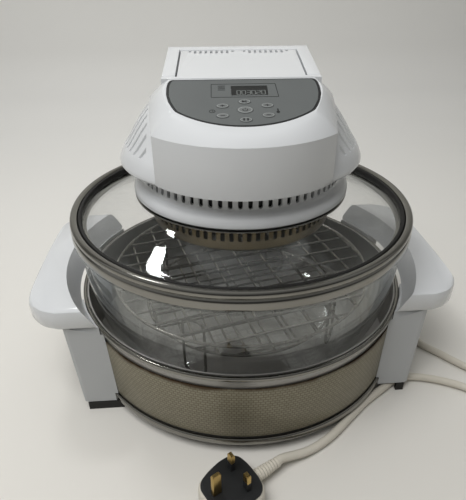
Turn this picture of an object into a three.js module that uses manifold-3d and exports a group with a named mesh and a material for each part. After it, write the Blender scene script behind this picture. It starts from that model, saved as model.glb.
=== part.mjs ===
// Halogen oven with a lift-off glass lid, a round stand, a glass bowl, two wire racks and a mains cord.
// Millimetres, +Z up, the control panel looks towards -Y, and the feet stand on z = 0.
import * as THREE from "three";
import { mergeVertices } from "three/addons/utils/BufferGeometryUtils.js";
import Module from "manifold-3d";

const wasm = await Module();
wasm.setup();

// Clearances between neighbouring pieces.
const gap = 0.3;
const looseGap = 0.6;

// Stand: a steel drum with a rolled ring at each end and a patterned band round it.
const drumRadius = 167;
const drumThickness = 1.4;
const drumBottomZ = 13;
const drumHeight = 82;
const drumFloorRaise = 7.3;
const drumFloorZ = drumBottomZ + drumFloorRaise;
const drumTopZ = drumBottomZ + drumHeight;
const ringBulge = 4.4;
const ringOverhang = 2;
const bottomRingHeight = 7;
const topRingHeight = 5.6;
const ringEdgeShare = 0.25;
const bandThickness = 1.6;
const bandShares = [0.0915, 0.817];

// Legs and feet, placed as shares of the drum's radius.
const footHeight = 9.7;
const footDepth = 3.8;
const footProud = 0.7;
const legCorner = 4;
const legLean = 9;
const legInnerShare = 0.7425;
const legFrontShare = 0.638;
const legTopFrontShare = 0.581;
const legBackShare = 0.3115;
const footInnerShare = 0.7665;
const frontRightFootShare = 0.928;

// Grips, outlined as shares of their reach and of their half length.
const gripRaise = 3;
const gripHeight = 21;
const gripEdge = 3.5;
const gripBottomStandOff = 6.4;
const gripTopStandOff = 17;
const gripReach = 44.8;
const gripHalfLength = 100;
const gripOutlineShares = [[0.2455, 1], [0.558, 0.945], [0.8036, 0.84], [0.9263, 0.71], [0.9821, 0.36]];
const gripBottomZ = drumTopZ + gripRaise;
const gripTopZ = gripBottomZ + gripHeight;

// Glass bowl, its outer profile given as shares of its radius and height.
const bowlInset = 1;
const bowlRadius = drumRadius - bowlInset;
const bowlBottomZ = drumFloorZ + drumThickness + gap;
const bowlHeight = 145.4;
const bowlRimZ = bowlBottomZ + bowlHeight;
const bowlWall = 4.4;
const bowlHollow = 0.8;
const bowlProfileShares = [
  [0.687, 0], [0.771, 0.038], [0.88, 0.193], [0.94, 0.413], [0.98, 0.64], [1, 0.949],
];
const bowlFloorTopZ = bowlBottomZ + bowlWall;

// Wire racks: the low one stands on four wire loops, and the high one rests on the loops' tops.
const rackWire = 1.5;
const rackThinWire = 1.2;
const wireOverlapShare = 0.7;
const rackSteps = 36;
const rackTurn = 14.5 * (Math.PI / 180);
const rackLongPitch = 22;
const rackCrossPitch = 27;
const lowRackRadius = bowlRadius * 0.6385;
const lowRackZ = 60;
const loopTopZ = 98;
const loopHalfWidth = 12;
const loopCorner = 6;
const loopFirstAngle = -120 * (Math.PI / 180);
const lowRackEdge = lowRackRadius + rackWire * Math.SQRT1_2;
const loopRadius = lowRackEdge - loopHalfWidth * Math.tan(Math.PI / rackSteps) + rackWire + gap;
const highRackRadius = bowlRadius * 0.8313;
const highRackZ = loopTopZ + gap + rackThinWire * (1 + wireOverlapShare);

// The lid and the head on it stand a little turned on the bowl; their heights count from its rim.
const headTurn = -2.5 * (Math.PI / 180);
const rimOverhang = 5;
const rimRadius = bowlRadius + rimOverhang;
const rimBottomZ = 0.4;
const rimTopZ = 14.1;
const rimEdge = 2;
const rimLedgeWidth = 10;
const rimLedgeRadius = bowlRadius - rimLedgeWidth;
const rimLedgeTopZ = 4.9;
const sealInset = 3;
const sealThickness = 3.2;
const sealOuterRadius = bowlRadius - sealInset;
const sealInnerRadius = sealOuterRadius - sealThickness;
const sealTopZ = 12.8;
const rimWallRadius = sealOuterRadius + gap;
const lidGlassThickness = 4;
const lidHoleRadius = 86;
const lidEdgeRadius = sealInnerRadius - gap;
const lidWidthShares = [0, 0.272, 0.5986, 0.8707, 1];
const lidGlassZ = [34.1, 27.4, 17.8, 11.2, 9.2];
const lidGlassProfile = lidWidthShares.map((share, i) => [
  lidHoleRadius + share * (lidEdgeRadius - lidHoleRadius),
  lidGlassZ[i],
]);

// Heater head: the flared base above the glass and what is clamped under it.
const clampThickness = 1.2;
const clampInnerRadius = lidHoleRadius + 4;
const clampRadius = lidHoleRadius + 19.5;
const gasketThickness = 1.7;
const gasketRadius = lidHoleRadius + 18.5;
const flangeRadius = lidHoleRadius + 19.8;
const flangeSteps = [[0, 33.8], [2.4, 39.6], [8.6, 44.8]];
const ventWallRadius = lidHoleRadius + 11;
const ventWallThickness = 2.4;
const headTopZ = 66;
const headFloorZ = 37.9;
const headFloorThickness = 2.5;
const shaftHoleRadius = 9;
const ventCount = 72;
const ventWidth = 3.8;
const ventBottomZ = 46.2;
const ventTopZ = 59.1;
const guardRadius = lidHoleRadius + 4;
const guardNeckRadius = lidHoleRadius - 2.8;
const guardBottomZ = 0.6;
const guardShoulderZ = 28;
const guardThickness = 1.2;
const guardEdge = 2;
const guardSlots = 16;
const guardSlotShares = [0.3, 0.86];
const guardSlotWidth = 4.5;
const reflectorRadius = guardNeckRadius - guardThickness - gap;
const reflectorZ = headFloorZ - gap - guardThickness;
const lampRadius = 62;
const lampTube = 5;
const lampZ = 16.6;
const lampHalfBreak = 0.03 * Math.PI;
const holderTopZ = reflectorZ - gap;
const holderBottomZ = 26.6;
const holderSize = 14;
const holderLength = 11.7;
const fanRadius = 44;
const fanZ = 22.6;
const fanHubRadius = 9;
const fanHubHeight = 8;
const fanBlades = 6;
const fanBladeWidth = 13;
const fanBladeTwist = 0.5;
const shaftRadius = 3;
const motorRadius = 31;
const motorHeight = 40;
const coolingFanRadius = 58;
const coolingBladeWidth = 15;
const boardThickness = 1.6;
const boardHalfWidth = 42;
const boardFrontV = -16;
const boardBackV = 26;

// White housing over the head: round wings, the console at the front and the spine on top.
const housingWall = 2.6;
const housingBottomZ = 58.6;
const housingRimInset = 2;
const domeProfile = [
  [116.5, 61.1], [115.8, 64.6], [112, 73.1], [105.5, 82.6], [98, 94.6], [90.5, 105.1], [83, 113.6],
  [72.5, 123.6], [60, 129.6],
];
const domeFrontShare = 0.858;
const domeTopShare = 0.85;
const domeDropShare = 0.6;
const domeTopZ = domeProfile[domeProfile.length - 1][1];
const cavityTopZ = 118.6;
const webThickness = 2.4;
const consoleBottomZ = 60.6;
const consoleFrontY = 112;
const consoleCornerX = 75;
const consoleCornerY = 78;
const consoleSide = [[77.2, 64], [79, 50], [80.4, 35], [81, 20]];
const consoleCreaseZ = 103.6;
const consoleSideCreaseZ = [107.1, 111.6, 116.6, 120.6];
const bezelInset = 3.2;
const bezelShoulders = [[60.5, -5], [65, 8], [67, 24], [63, 37.4]];
const spineHalfWidth = 69.5;
const spineFrontY = 24;
const spineBackY = 53.4;
const spineCorner = 9;
const spineCornerShare = 0.3;
const spineEdge = 0.8;
const spineBackDrop = 4;
const spineTopZ = 136.6;
const spineSlope = Math.atan2(13, 87);
const spineBottomZ = 82.6;
const spineWall = 3.6;
const grooveCount = 6;
const grooveFirstY = 54;
const groovePitch = 9;
const grooveWidth = 3;
const grooveDepth = 1.5;
const grooveInnerX = 83.5;
const grooveBottomZ = 76.1;
const rearVentCount = 9;
const rearVentPitch = 5.2;
const rearVentWidth = 2.4;
const rearVentLength = 11;
const rearVentShortLength = 4;
const rearVentFrontY = 42;
const rearVentFirstX = 5.7;

// Control panel, laid out in its own sloping plane: u to the right, v up the slope.
const panelSlope = Math.atan2(20, 62);
const panelY = -61;
const panelZ = 124.6;
const panelU = 0.7;
const panelThickness = 2.2;
const panelPocket = 2.7;
const panelWallShare = 1.7;
const panelTopV = 36.4;
const panelHalfTop = 61.5;
const panelBottomV = 33.8;
const panelShoulders = [[63.6, 32], [64.4, 24], [64, 13], [61.6, 2], [58.4, -6], [55.4, -12]];
const trimWidth = 1.8;
const displayU = 4.8;
const displayV = 18.2;
const displayWidth = 30;
const displayHeight = 14;
const keyPlayV = 0.8;
const keyPowerV = -11;
const keyPauseV = -24.6;
const keySideU = 18;
const keyPlusV = -4.9;
const keyMinusV = -18.7;
const keyRadii = [4.9, 3.1];
const powerKeyRadii = [6.3, 4.6];
const keyProud = 0.5;
const keyDepth = 1.5;

// Carry handle lying flush round the spine, turning at its front ends.
const handleThickness = 9.5;
const handleInnerX = 57.9;
const handleOuterX = 69.2;
const handlePivotY = -14.2;
const handleReach = 80.4;
const handleBarDepth = 11.6;
const handleEdge = 2;
const handleSlitX = 56;
const handleSlitFrontY = 20;
const pivotRadius = 2;
const pivotEndX = 66;
const pivotRootX = 53.2;

// Cord outlet at the back of the housing and the mains cord.
const glandZ = 68.6;
const glandRadius = 6;
const glandFlangeRadius = 9;
const glandFlangeY = 118.8;
const glandFlangeThickness = 2.6;
const glandTailY = 145;
const glandTailRadius = 4.9;
const glandRootY = 104;
const cordDiameter = 7.8;
const cordTableZ = 4.4;
const cordSteps = 68;
const cordSides = 8;
const cordDrop = [
  [6.9, 158, 236], [7.4, 169, 232.5], [8.5, 181, 223], [11, 196, 196], [15, 205, 160], [21, 211, 115],
  [30, 217, 70], [44, 223, 32], [64, 225, 11],
];
const cordOnTable = [
  [90, 220], [122, 202], [154, 172], [182, 132], [200, 90], [207, 45], [207, 0], [206, -39], [223.5, -62.5],
  [242.8, -84.9], [260, -98], [282, -104], [309, -111], [329, -132], [328, -160], [305, -179], [276, -174],
  [257, -150], [243, -129], [227, -113.5], [210, -104], [195.8, -98.5], [180.6, -94.8], [167, -94.8],
  [154, -98.8], [141.3, -107.2], [116.7, -124.1], [96.2, -141.3], [70.9, -162.6],
];
const cordNearPlug = [47, -176.5, 5.2];
const cordStraight = 6;

// Mains plug lying on its back, pins up; its own frame starts at the earth pin and runs to the cord.
const plugX = -38.5;
const plugY = -222.5;
const plugTurn = 31 * (Math.PI / 180);
const plugOutline = [[38.2, 8], [36, 18], [30, 23.5], [18, 24.6], [4, 21.8], [-7, 17.2], [-11, 11]];
const plugBottomZ = 0.2;
const plugBodyTopZ = 22.5;
const plugFaceTopZ = 24.4;
const plugEdge = 3;
const plugTopEdge = 1;
const plugFaceInset = 2;
const pinSpacing = 22.2;
const earthPin = [8, 4, 22.7];
const linePin = [4, 6.3, 17.7];
const plugCordZ = 11;
const reliefLength = 26;
const reliefRadius = 6.4;
const reliefTailRadius = 4.6;

// How far a cutting tool reaches past the surface it cuts.
const overshoot = 1;

// Facets round a turned piece.
const wideSteps = 44;
const midSteps = 36;
const smallSteps = 14;
const thinWireSides = 4;
const keySteps = 12;
const arcSteps = 12;

const paint = {
  whitePlastic: { color: 0xf1f2f2, roughness: 0.3, metalness: 0 },
  greyPlastic: { color: 0x6b6f70, roughness: 0.55, metalness: 0 },
  charcoal: { color: 0x232526, roughness: 0.6, metalness: 0 },
  rubber: { color: 0x1b1b1b, roughness: 0.85, metalness: 0 },
  chrome: { color: 0xcdcdca, roughness: 0.15, metalness: 1 },
  steel: { color: 0xb9b7b1, roughness: 0.3, metalness: 1 },
  band: { color: 0x9a927f, roughness: 0.5, metalness: 0.4 },
  glass: { color: 0xdde4e2, roughness: 0.05, metalness: 0, transparent: true, opacity: 0.3 },
  lamp: { color: 0xe8e2d2, roughness: 0.1, metalness: 0 },
  ceramic: { color: 0xe4dfd4, roughness: 0.6, metalness: 0 },
  cord: { color: 0xe3dfd3, roughness: 0.5, metalness: 0 },
  board: { color: 0x2f5a3a, roughness: 0.6, metalness: 0 },
  brass: { color: 0xc8a860, roughness: 0.3, metalness: 1 },
};

const product = new THREE.Group();
product.name = "halogen_oven";

// Everything that lifts off with the lid.
const lidGroup = new THREE.Group();
lidGroup.name = "lid_with_head";
lidGroup.position.set(0, 0, bowlRimZ);
lidGroup.rotation.z = headTurn;
product.add(lidGroup);

// Makes a geometry from corner points and triangles, turned so its faces look outwards.
function meshFrom(points, triangles) {
  let volume = 0;
  for (const [a, b, c] of triangles) {
    const [p, q, r] = [points[a], points[b], points[c]];
    volume += p[0] * (q[1] * r[2] - q[2] * r[1]);
    volume += p[1] * (q[2] * r[0] - q[0] * r[2]);
    volume += p[2] * (q[0] * r[1] - q[1] * r[0]);
  }
  const faces = volume < 0 ? triangles.map(([a, b, c]) => [a, c, b]) : triangles;
  const geometry = new THREE.BufferGeometry();
  geometry.setAttribute("position", new THREE.Float32BufferAttribute(points.flat(), 3));
  geometry.setIndex(faces.flat());
  return geometry;
}

function solidOf(geometry) {
  const bare = geometry.clone();
  bare.deleteAttribute("normal");
  bare.deleteAttribute("uv");
  const merged = mergeVertices(bare, 1e-4);
  return new wasm.Manifold(
    new wasm.Mesh({
      numProp: 3,
      vertProperties: new Float32Array(merged.attributes.position.array),
      triVerts: new Uint32Array(merged.index.array),
    }),
  );
}

function geometryOf(solid) {
  const mesh = solid.getMesh();
  const geometry = new THREE.BufferGeometry();
  const positions = new Float32Array(mesh.numVert * 3);
  for (let i = 0; i < mesh.numVert; i++) {
    positions.set(mesh.vertProperties.subarray(i * mesh.numProp, i * mesh.numProp + 3), i * 3);
  }
  geometry.setAttribute("position", new THREE.BufferAttribute(positions, 3));
  geometry.setIndex(new THREE.BufferAttribute(new Uint32Array(mesh.triVerts), 1));
  return geometry;
}

function united(geometries) {
  return geometries.map(solidOf).reduce((whole, piece) => whole.add(piece));
}

function cutFrom(solid, geometries) {
  return geometries.map(solidOf).reduce((rest, tool) => rest.subtract(tool), solid);
}

function biggestBody(solid) {
  return solid.decompose().sort((a, b) => b.volume() - a.volume())[0];
}

function place(name, geometry, look, parent = product) {
  const flat = geometry.index ? geometry.toNonIndexed() : geometry.clone();
  flat.computeVertexNormals();
  const mesh = new THREE.Mesh(flat, new THREE.MeshStandardMaterial(paint[look]));
  mesh.name = name;
  parent.add(mesh);
}

// Turns a closed profile of [radius, height] round the z axis.
function turned(profile, steps) {
  const points = [];
  for (let i = 0; i < steps; i++) {
    const angle = (2 * Math.PI * i) / steps;
    for (const [radius, z] of profile) {
      points.push([radius * Math.cos(angle), radius * Math.sin(angle), z]);
    }
  }
  const count = profile.length;
  const onAxis = (j) => Math.abs(profile[j][0]) < 1e-9;
  const triangles = [];
  for (let i = 0; i < steps; i++) {
    const next = (i + 1) % steps;
    for (let j = 0; j < count; j++) {
      const up = (j + 1) % count;
      if (!onAxis(j)) triangles.push([i * count + j, next * count + j, next * count + up]);
      if (!onAxis(up)) triangles.push([i * count + j, next * count + up, i * count + up]);
    }
  }
  return dropFlatTriangles(mergeVertices(meshFrom(points, triangles), 1e-5));
}

// Takes out the triangles that merging points on the axis has flattened.
function dropFlatTriangles(geometry) {
  const index = Array.from(geometry.index.array);
  const kept = [];
  for (let i = 0; i < index.length; i += 3) {
    const [a, b, c] = index.slice(i, i + 3);
    if (a !== b && b !== c && c !== a) kept.push(a, b, c);
  }
  geometry.setIndex(kept);
  return geometry;
}

// Triangles that close a ring of points, all turned the same way as the ring.
function capOf(ring) {
  const normal = new THREE.Vector3();
  ring.forEach((p, i) => {
    const q = ring[(i + 1) % ring.length];
    normal.x += (p[1] - q[1]) * (p[2] + q[2]);
    normal.y += (p[2] - q[2]) * (p[0] + q[0]);
    normal.z += (p[0] - q[0]) * (p[1] + q[1]);
  });
  normal.normalize();
  const seed = Math.abs(normal.z) < 0.9 ? new THREE.Vector3(0, 0, 1) : new THREE.Vector3(1, 0, 0);
  const across = new THREE.Vector3().crossVectors(seed, normal).normalize();
  const along = new THREE.Vector3().crossVectors(normal, across);
  const flat = ring.map((p) => {
    const v = new THREE.Vector3(...p);
    return new THREE.Vector2(v.dot(across), v.dot(along));
  });
  return THREE.ShapeUtils.triangulateShape(flat, []).map(([a, b, c]) => {
    const ab = flat[b].clone().sub(flat[a]);
    const ac = flat[c].clone().sub(flat[a]);
    return ab.cross(ac) < 0 ? [a, c, b] : [a, b, c];
  });
}

// Triangles between two neighbouring rings of the same number of points.
function bandOf(first, second, count) {
  return Array.from({ length: count }, (_, i) => {
    const next = (i + 1) % count;
    return [
      [first + i, first + next, second + next],
      [first + i, second + next, second + i],
    ];
  }).flat();
}

// Skins a row of rings with the same number of points and closes both ends.
function lofted(rings) {
  const count = rings[0].length;
  const triangles = [];
  for (let k = 0; k + 1 < rings.length; k++) {
    triangles.push(...bandOf(k * count, (k + 1) * count, count));
  }
  for (const [a, b, c] of capOf(rings[0])) triangles.push([a, c, b]);
  const last = (rings.length - 1) * count;
  for (const [a, b, c] of capOf(rings[rings.length - 1])) triangles.push([last + a, last + b, last + c]);
  return meshFrom(rings.flat(), triangles);
}

// Skins a row of rings whose last one meets the first again, as round a hoop.
function hoop(rings) {
  const count = rings[0].length;
  const triangles = rings.flatMap((_, k) => bandOf(k * count, ((k + 1) % rings.length) * count, count));
  return meshFrom(rings.flat(), triangles);
}

function atHeight(outline, z) {
  return outline.map(([x, y]) => [x, y, z]);
}

function slab(outline, bottom, top) {
  return lofted([atHeight(outline, bottom), atHeight(outline, top)]);
}

function rectangle(x0, x1, y0, y1) {
  return [[x0, y0], [x1, y0], [x1, y1], [x0, y1]];
}

function block(x0, x1, y0, y1, z0, z1) {
  return slab(rectangle(x0, x1, y0, y1), z0, z1);
}

// The two ends of a span on one side of the middle plane, smaller one first.
function sideSpan(side, near, far) {
  return [side * near, side * far].sort((a, b) => a - b);
}

// Moves every edge of a convex outline inwards by the same distance.
function insetOutline(outline, distance) {
  const count = outline.length;
  const area = outline.reduce((sum, [x, y], i) => {
    const [nx, ny] = outline[(i + 1) % count];
    return sum + x * ny - y * nx;
  }, 0);
  const side = Math.sign(area) * distance;
  const inward = ([px, py], [qx, qy]) => {
    const length = Math.hypot(qx - px, qy - py);
    return [-(qy - py) / length, (qx - px) / length];
  };
  return outline.map(([x, y], i) => {
    const before = outline[(i + count - 1) % count];
    const after = outline[(i + 1) % count];
    const [ax, ay] = inward(before, [x, y]);
    const [bx, by] = inward([x, y], after);
    const share = side / (1 + ax * bx + ay * by);
    return [x + (ax + bx) * share, y + (ay + by) * share];
  });
}

function ellipse(centreX, centreY, radiusX, radiusY, steps) {
  return Array.from({ length: steps }, (_, i) => {
    const angle = (2 * Math.PI * (i + 0.5)) / steps;
    return [centreX + radiusX * Math.cos(angle), centreY + radiusY * Math.sin(angle)];
  });
}

// A round bar between two points, or a cone when the end radii differ.
function rod(start, end, startRadius, endRadius, sides) {
  const from = new THREE.Vector3(...start);
  const to = new THREE.Vector3(...end);
  const axis = to.clone().sub(from).normalize();
  const seed = Math.abs(axis.z) < 0.9 ? new THREE.Vector3(0, 0, 1) : new THREE.Vector3(1, 0, 0);
  const across = new THREE.Vector3().crossVectors(axis, seed).normalize();
  const along = new THREE.Vector3().crossVectors(axis, across);
  const ringAt = (centre, radius) =>
    Array.from({ length: sides }, (_, i) => {
      const angle = (2 * Math.PI * i) / sides;
      const p = centre.clone();
      p.addScaledVector(across, radius * Math.cos(angle)).addScaledVector(along, radius * Math.sin(angle));
      return [p.x, p.y, p.z];
    });
  return lofted([ringAt(from, startRadius), ringAt(to, endRadius)]);
}

function tube(points, radius, sides, steps, tension) {
  const bends = points.map((p) => new THREE.Vector3(...p));
  const path = new THREE.CatmullRomCurve3(bends, false, "catmullrom", tension);
  const circle = ellipse(0, 0, radius, radius, sides).map(([x, y]) => new THREE.Vector2(x, y));
  const section = new THREE.Shape(circle);
  return new THREE.ExtrudeGeometry(section, { steps, extrudePath: path, bevelEnabled: false });
}

// Height of a broken line of [radius, height] at one radius.
function heightOn(profile, radius) {
  for (let i = 0; i + 1 < profile.length; i++) {
    const [[r0, z0], [r1, z1]] = [profile[i], profile[i + 1]];
    if (radius >= r0 && radius <= r1) return z0 + ((z1 - z0) * (radius - r0)) / (r1 - r0);
  }
  return profile[profile.length - 1][1];
}

function addDrum() {
  const inner = drumRadius - drumThickness;
  const floorTop = drumFloorZ + drumThickness;
  const shell = [
    [0, drumFloorZ], [inner, drumFloorZ], [inner, drumBottomZ], [drumRadius, drumBottomZ],
    [drumRadius, drumTopZ], [inner, drumTopZ], [inner, floorTop], [0, floorTop],
  ];
  place("drum_shell", turned(shell, wideSteps), "steel");
  const root = drumRadius + gap;
  const rings = [
    ["drum_bottom_ring", drumBottomZ - ringOverhang, bottomRingHeight],
    ["drum_top_ring", drumTopZ - topRingHeight, topRingHeight],
  ];
  for (const [name, z, height] of rings) {
    const outer = drumRadius + ringBulge;
    const edge = height * ringEdgeShare;
    const profile = [
      [root, z], [outer - edge, z], [outer, z + edge], [outer, z + height - edge], [outer - edge, z + height],
      [root, z + height],
    ];
    place(name, turned(profile, wideSteps), "chrome");
  }
  const [bandBottom, bandTop] = bandShares.map((share) => drumBottomZ + drumHeight * share);
  const band = rectangle(root, root + bandThickness, bandBottom, bandTop);
  place("drum_band", turned(band, wideSteps), "band");
}

// The space round the drum that the legs stay out of.
function drumClearance() {
  const ringEdge = drumRadius + ringBulge + looseGap;
  const wallEdge = drumRadius + bandThickness + looseGap + gap;
  const ringTop = drumBottomZ - ringOverhang + bottomRingHeight + looseGap;
  const upperRing = drumTopZ - topRingHeight - looseGap;
  const profile = [
    [0, 0], [ringEdge, 0], [ringEdge, ringTop], [wallEdge, ringTop], [wallEdge, upperRing],
    [ringEdge, upperRing], [ringEdge, gripTopZ], [0, gripTopZ],
  ];
  return turned(profile, wideSteps);
}

// A copy of a geometry with x and y turned over where the signs say so.
function flipped(geometry, signX, signY) {
  const p = geometry.attributes.position;
  const index = Array.from(geometry.index.array);
  const points = Array.from({ length: p.count }, (_, i) => [signX * p.getX(i), signY * p.getY(i), p.getZ(i)]);
  const triangles = Array.from({ length: index.length / 3 }, (_, i) => index.slice(3 * i, 3 * i + 3));
  return meshFrom(points, triangles);
}

function addLegs() {
  const frontY = drumRadius * legFrontShare;
  const innerX = drumRadius * legInnerShare;
  const backY = drumRadius * legBackShare;
  const corners = (outerX, front) => [
    [innerX, -front], [outerX - legCorner, -front], [outerX - legCorner / 4, -front + legCorner / 4],
    [outerX, -front + legCorner], [outerX, -backY], [innerX, -backY],
  ];
  const block = lofted([
    atHeight(corners(drumRadius, frontY), footHeight + gap),
    atHeight(corners(drumRadius + legLean, drumRadius * legTopFrontShare), gripBottomZ - gap),
  ]);
  const leg = geometryOf(biggestBody(cutFrom(solidOf(block), [drumClearance()])));
  const corner = [["front_right", 1, 1], ["front_left", -1, 1], ["back_right", 1, -1], ["back_left", -1, -1]];
  for (const [where, signX, signY] of corner) {
    place("leg_" + where, flipped(leg, signX, signY), "whitePlastic");
    const inner = drumRadius * (where === "front_right" ? frontRightFootShare : footInnerShare);
    const [x0, x1] = sideSpan(signX, inner, drumRadius - legCorner);
    const [y0, y1] = sideSpan(-signY, frontY + footProud, frontY + footProud - footDepth);
    place("foot_" + where, slab(rectangle(x0, x1, y0, y1), 0, footHeight), "rubber");
  }
}

function addGrips() {
  const innerSteps = 8;
  const shape = (innerRadius, inset) => {
    const corner = ([reach, length]) => [drumRadius + gripReach * reach, gripHalfLength * length];
    const side = gripOutlineShares.map(corner);
    const outer = [...side.map(([x, y]) => [x, -y]), [drumRadius + gripReach, 0], ...side.reverse()];
    const drawnIn = outer.map(([x, y]) => {
      const shrink = 1 - inset / Math.hypot(x - innerRadius, y);
      return [innerRadius + (x - innerRadius) * shrink, y * shrink];
    });
    const half = Math.asin((gripHalfLength - inset) / innerRadius);
    const inner = Array.from({ length: innerSteps + 1 }, (_, i) => {
      const angle = half - (2 * half * i) / innerSteps;
      return [innerRadius * Math.cos(angle), innerRadius * Math.sin(angle)];
    });
    return [...drawnIn, ...inner];
  };
  const innerAt = (z) => {
    const share = (z - gripBottomZ) / gripHeight;
    return drumRadius + gripBottomStandOff + (gripTopStandOff - gripBottomStandOff) * share;
  };
  const levels = [
    [gripBottomZ, gripEdge], [gripBottomZ + gripEdge, 0], [gripTopZ - gripEdge, 0], [gripTopZ, gripEdge],
  ];
  const rings = levels.map(([z, inset]) => atHeight(shape(innerAt(z), inset), z));
  place("grip_right", lofted(rings), "whitePlastic");
  place("grip_left", lofted(rings.map((ring) => ring.map(([x, y, z]) => [-x, y, z]))), "whitePlastic");
}

function addBowl() {
  const outer = bowlProfileShares.map(([r, h]) => [bowlRadius * r, bowlBottomZ + bowlHeight * h]);
  const floorRadius = outer[0][0];
  const inner = outer.slice(1).map(([radius, z]) => [radius - bowlWall, z + bowlWall / 3]);
  const profile = [
    [0, bowlBottomZ + bowlHollow], [floorRadius - bowlWall * 2, bowlBottomZ + bowlHollow],
    [floorRadius - bowlWall, bowlBottomZ], ...outer, [bowlRadius, bowlRimZ],
    [bowlRadius - bowlWall, bowlRimZ], ...inner.reverse(), [floorRadius, bowlFloorTopZ], [0, bowlFloorTopZ],
  ];
  place("glass_bowl", turned(profile, wideSteps), "glass");
}

// Distances from the middle of evenly spaced wires that fit in a ring.
function wireOffsets(radius, pitch, firstShare) {
  const count = Math.ceil(radius / pitch);
  const offsets = Array.from({ length: 2 * count + 1 }, (_, i) => (i - count + firstShare) * pitch);
  return offsets.filter((offset) => Math.abs(offset) < radius - rackWire);
}

// A flat round grille: a ring, long wires lying over it and crossing wires under them.
function grilleSolid(radius, z) {
  const pieces = [turned(ellipse(radius, z, rackWire, rackWire, thinWireSides), rackSteps)];
  const lift = rackThinWire * wireOverlapShare;
  const layers = [[rackLongPitch, 0.5, lift, 0], [rackCrossPitch, 0, -lift, Math.PI / 2]];
  for (const [pitch, firstShare, rise, angle] of layers) {
    for (const offset of wireOffsets(radius, pitch, firstShare)) {
      const reach = Math.sqrt(radius * radius - offset * offset);
      const [start, end] = [[-reach, offset, z + rise], [reach, offset, z + rise]];
      const wire = rod(start, end, rackThinWire, rackThinWire, thinWireSides);
      wire.rotateZ(rackTurn + angle);
      pieces.push(wire);
    }
  }
  return united(pieces);
}

// One closed wire loop that stands on the bowl's floor against the low rack's ring.
function wireLoop(angle) {
  const bottom = bowlFloorTopZ + gap + rackWire;
  const top = loopTopZ - rackWire;
  const [w, c] = [loopHalfWidth, loopCorner];
  const outline = [
    [-w + c, bottom], [w - c, bottom], [w, bottom + c], [w, top - c], [w - c, top], [-w + c, top],
    [-w, top - c], [-w, bottom + c],
  ];
  const section = [[rackWire, 0], [0, rackWire], [-rackWire, 0], [0, -rackWire]];
  const [cos, sin] = [Math.cos(angle), Math.sin(angle)];
  return hoop(
    section.map(([inset, depth]) =>
      insetOutline(outline, inset).map(([side, z]) => {
        const radius = loopRadius + depth;
        return [radius * cos - side * sin, radius * sin + side * cos, z];
      }),
    ),
  );
}

function addRacks() {
  place("low_rack", geometryOf(grilleSolid(lowRackRadius, lowRackZ)), "chrome");
  place("high_rack", geometryOf(grilleSolid(highRackRadius, highRackZ)), "chrome");
  ["a", "b", "c", "d"].forEach((letter, i) => {
    place("rack_loop_" + letter, wireLoop(loopFirstAngle + (i * Math.PI) / 2), "chrome");
  });
}

function addLidGlass() {
  const rim = [
    [rimLedgeRadius, rimBottomZ + gap], [rimRadius - rimEdge, rimBottomZ], [rimRadius, rimBottomZ + rimEdge],
    [rimRadius, rimTopZ - rimEdge], [rimRadius - rimEdge, rimTopZ], [rimWallRadius + rimEdge, rimTopZ],
    [rimWallRadius, rimTopZ - rimEdge], [rimWallRadius, rimLedgeTopZ], [rimLedgeRadius, rimLedgeTopZ],
  ];
  place("lid_rim", turned(rim, wideSteps), "chrome", lidGroup);
  const seal = rectangle(sealInnerRadius, sealOuterRadius, rimLedgeTopZ + gap, sealTopZ);
  place("rim_seal", turned(seal, wideSteps), "rubber", lidGroup);
  const top = lidGlassProfile.slice().reverse();
  const bottom = lidGlassProfile.map(([radius, z]) => [radius, z - lidGlassThickness]);
  place("lid_glass", turned([...bottom, ...top], wideSteps), "glass", lidGroup);
}

function addHeadBase() {
  const clampBottom = (radius) => heightOn(lidGlassProfile, radius) + gap;
  const clampTop = (radius) => clampBottom(radius) + clampThickness;
  const gasketBottom = (radius) => clampTop(radius) + gap;
  const gasketTop = (radius) => gasketBottom(radius) + gasketThickness;
  const flangeBottom = (radius) => gasketTop(radius) + gap;
  const cuff = (name, outer, bottom, top, look) => {
    const inner = clampInnerRadius;
    const under = [[inner, bottom(inner)], [outer, bottom(outer)]];
    const profile = [...under, [outer, top(outer)], [inner, top(inner)]];
    place(name, turned(profile, wideSteps), look, lidGroup);
  };
  cuff("clamp_ring", clampRadius, clampBottom, clampTop, "chrome");
  cuff("head_gasket", gasketRadius, gasketBottom, gasketTop, "rubber");
  const wallInner = ventWallRadius - ventWallThickness;
  const floorTop = headFloorZ + headFloorThickness;
  const profile = [
    [shaftHoleRadius, headFloorZ], [lidHoleRadius - gap, headFloorZ],
    [flangeRadius, flangeBottom(flangeRadius)],
    ...flangeSteps.map(([inset, z]) => [flangeRadius - inset, z]), [ventWallRadius, headTopZ],
    [wallInner, headTopZ], [wallInner, floorTop + headFloorThickness],
    [wallInner - headFloorThickness * 2, floorTop], [shaftHoleRadius, floorTop],
  ];
  const slots = Array.from({ length: ventCount }, (_, i) => {
    const [near, far] = [wallInner - ventWallThickness, ventWallRadius + ventWallThickness];
    const slot = block(near, far, -ventWidth / 2, ventWidth / 2, ventBottomZ, ventTopZ);
    slot.rotateZ((2 * Math.PI * (i + 0.5)) / ventCount);
    return slot;
  });
  const base = cutFrom(solidOf(turned(profile, ventCount / 2)), slots);
  place("head_base", geometryOf(base), "whitePlastic", lidGroup);
}

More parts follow.
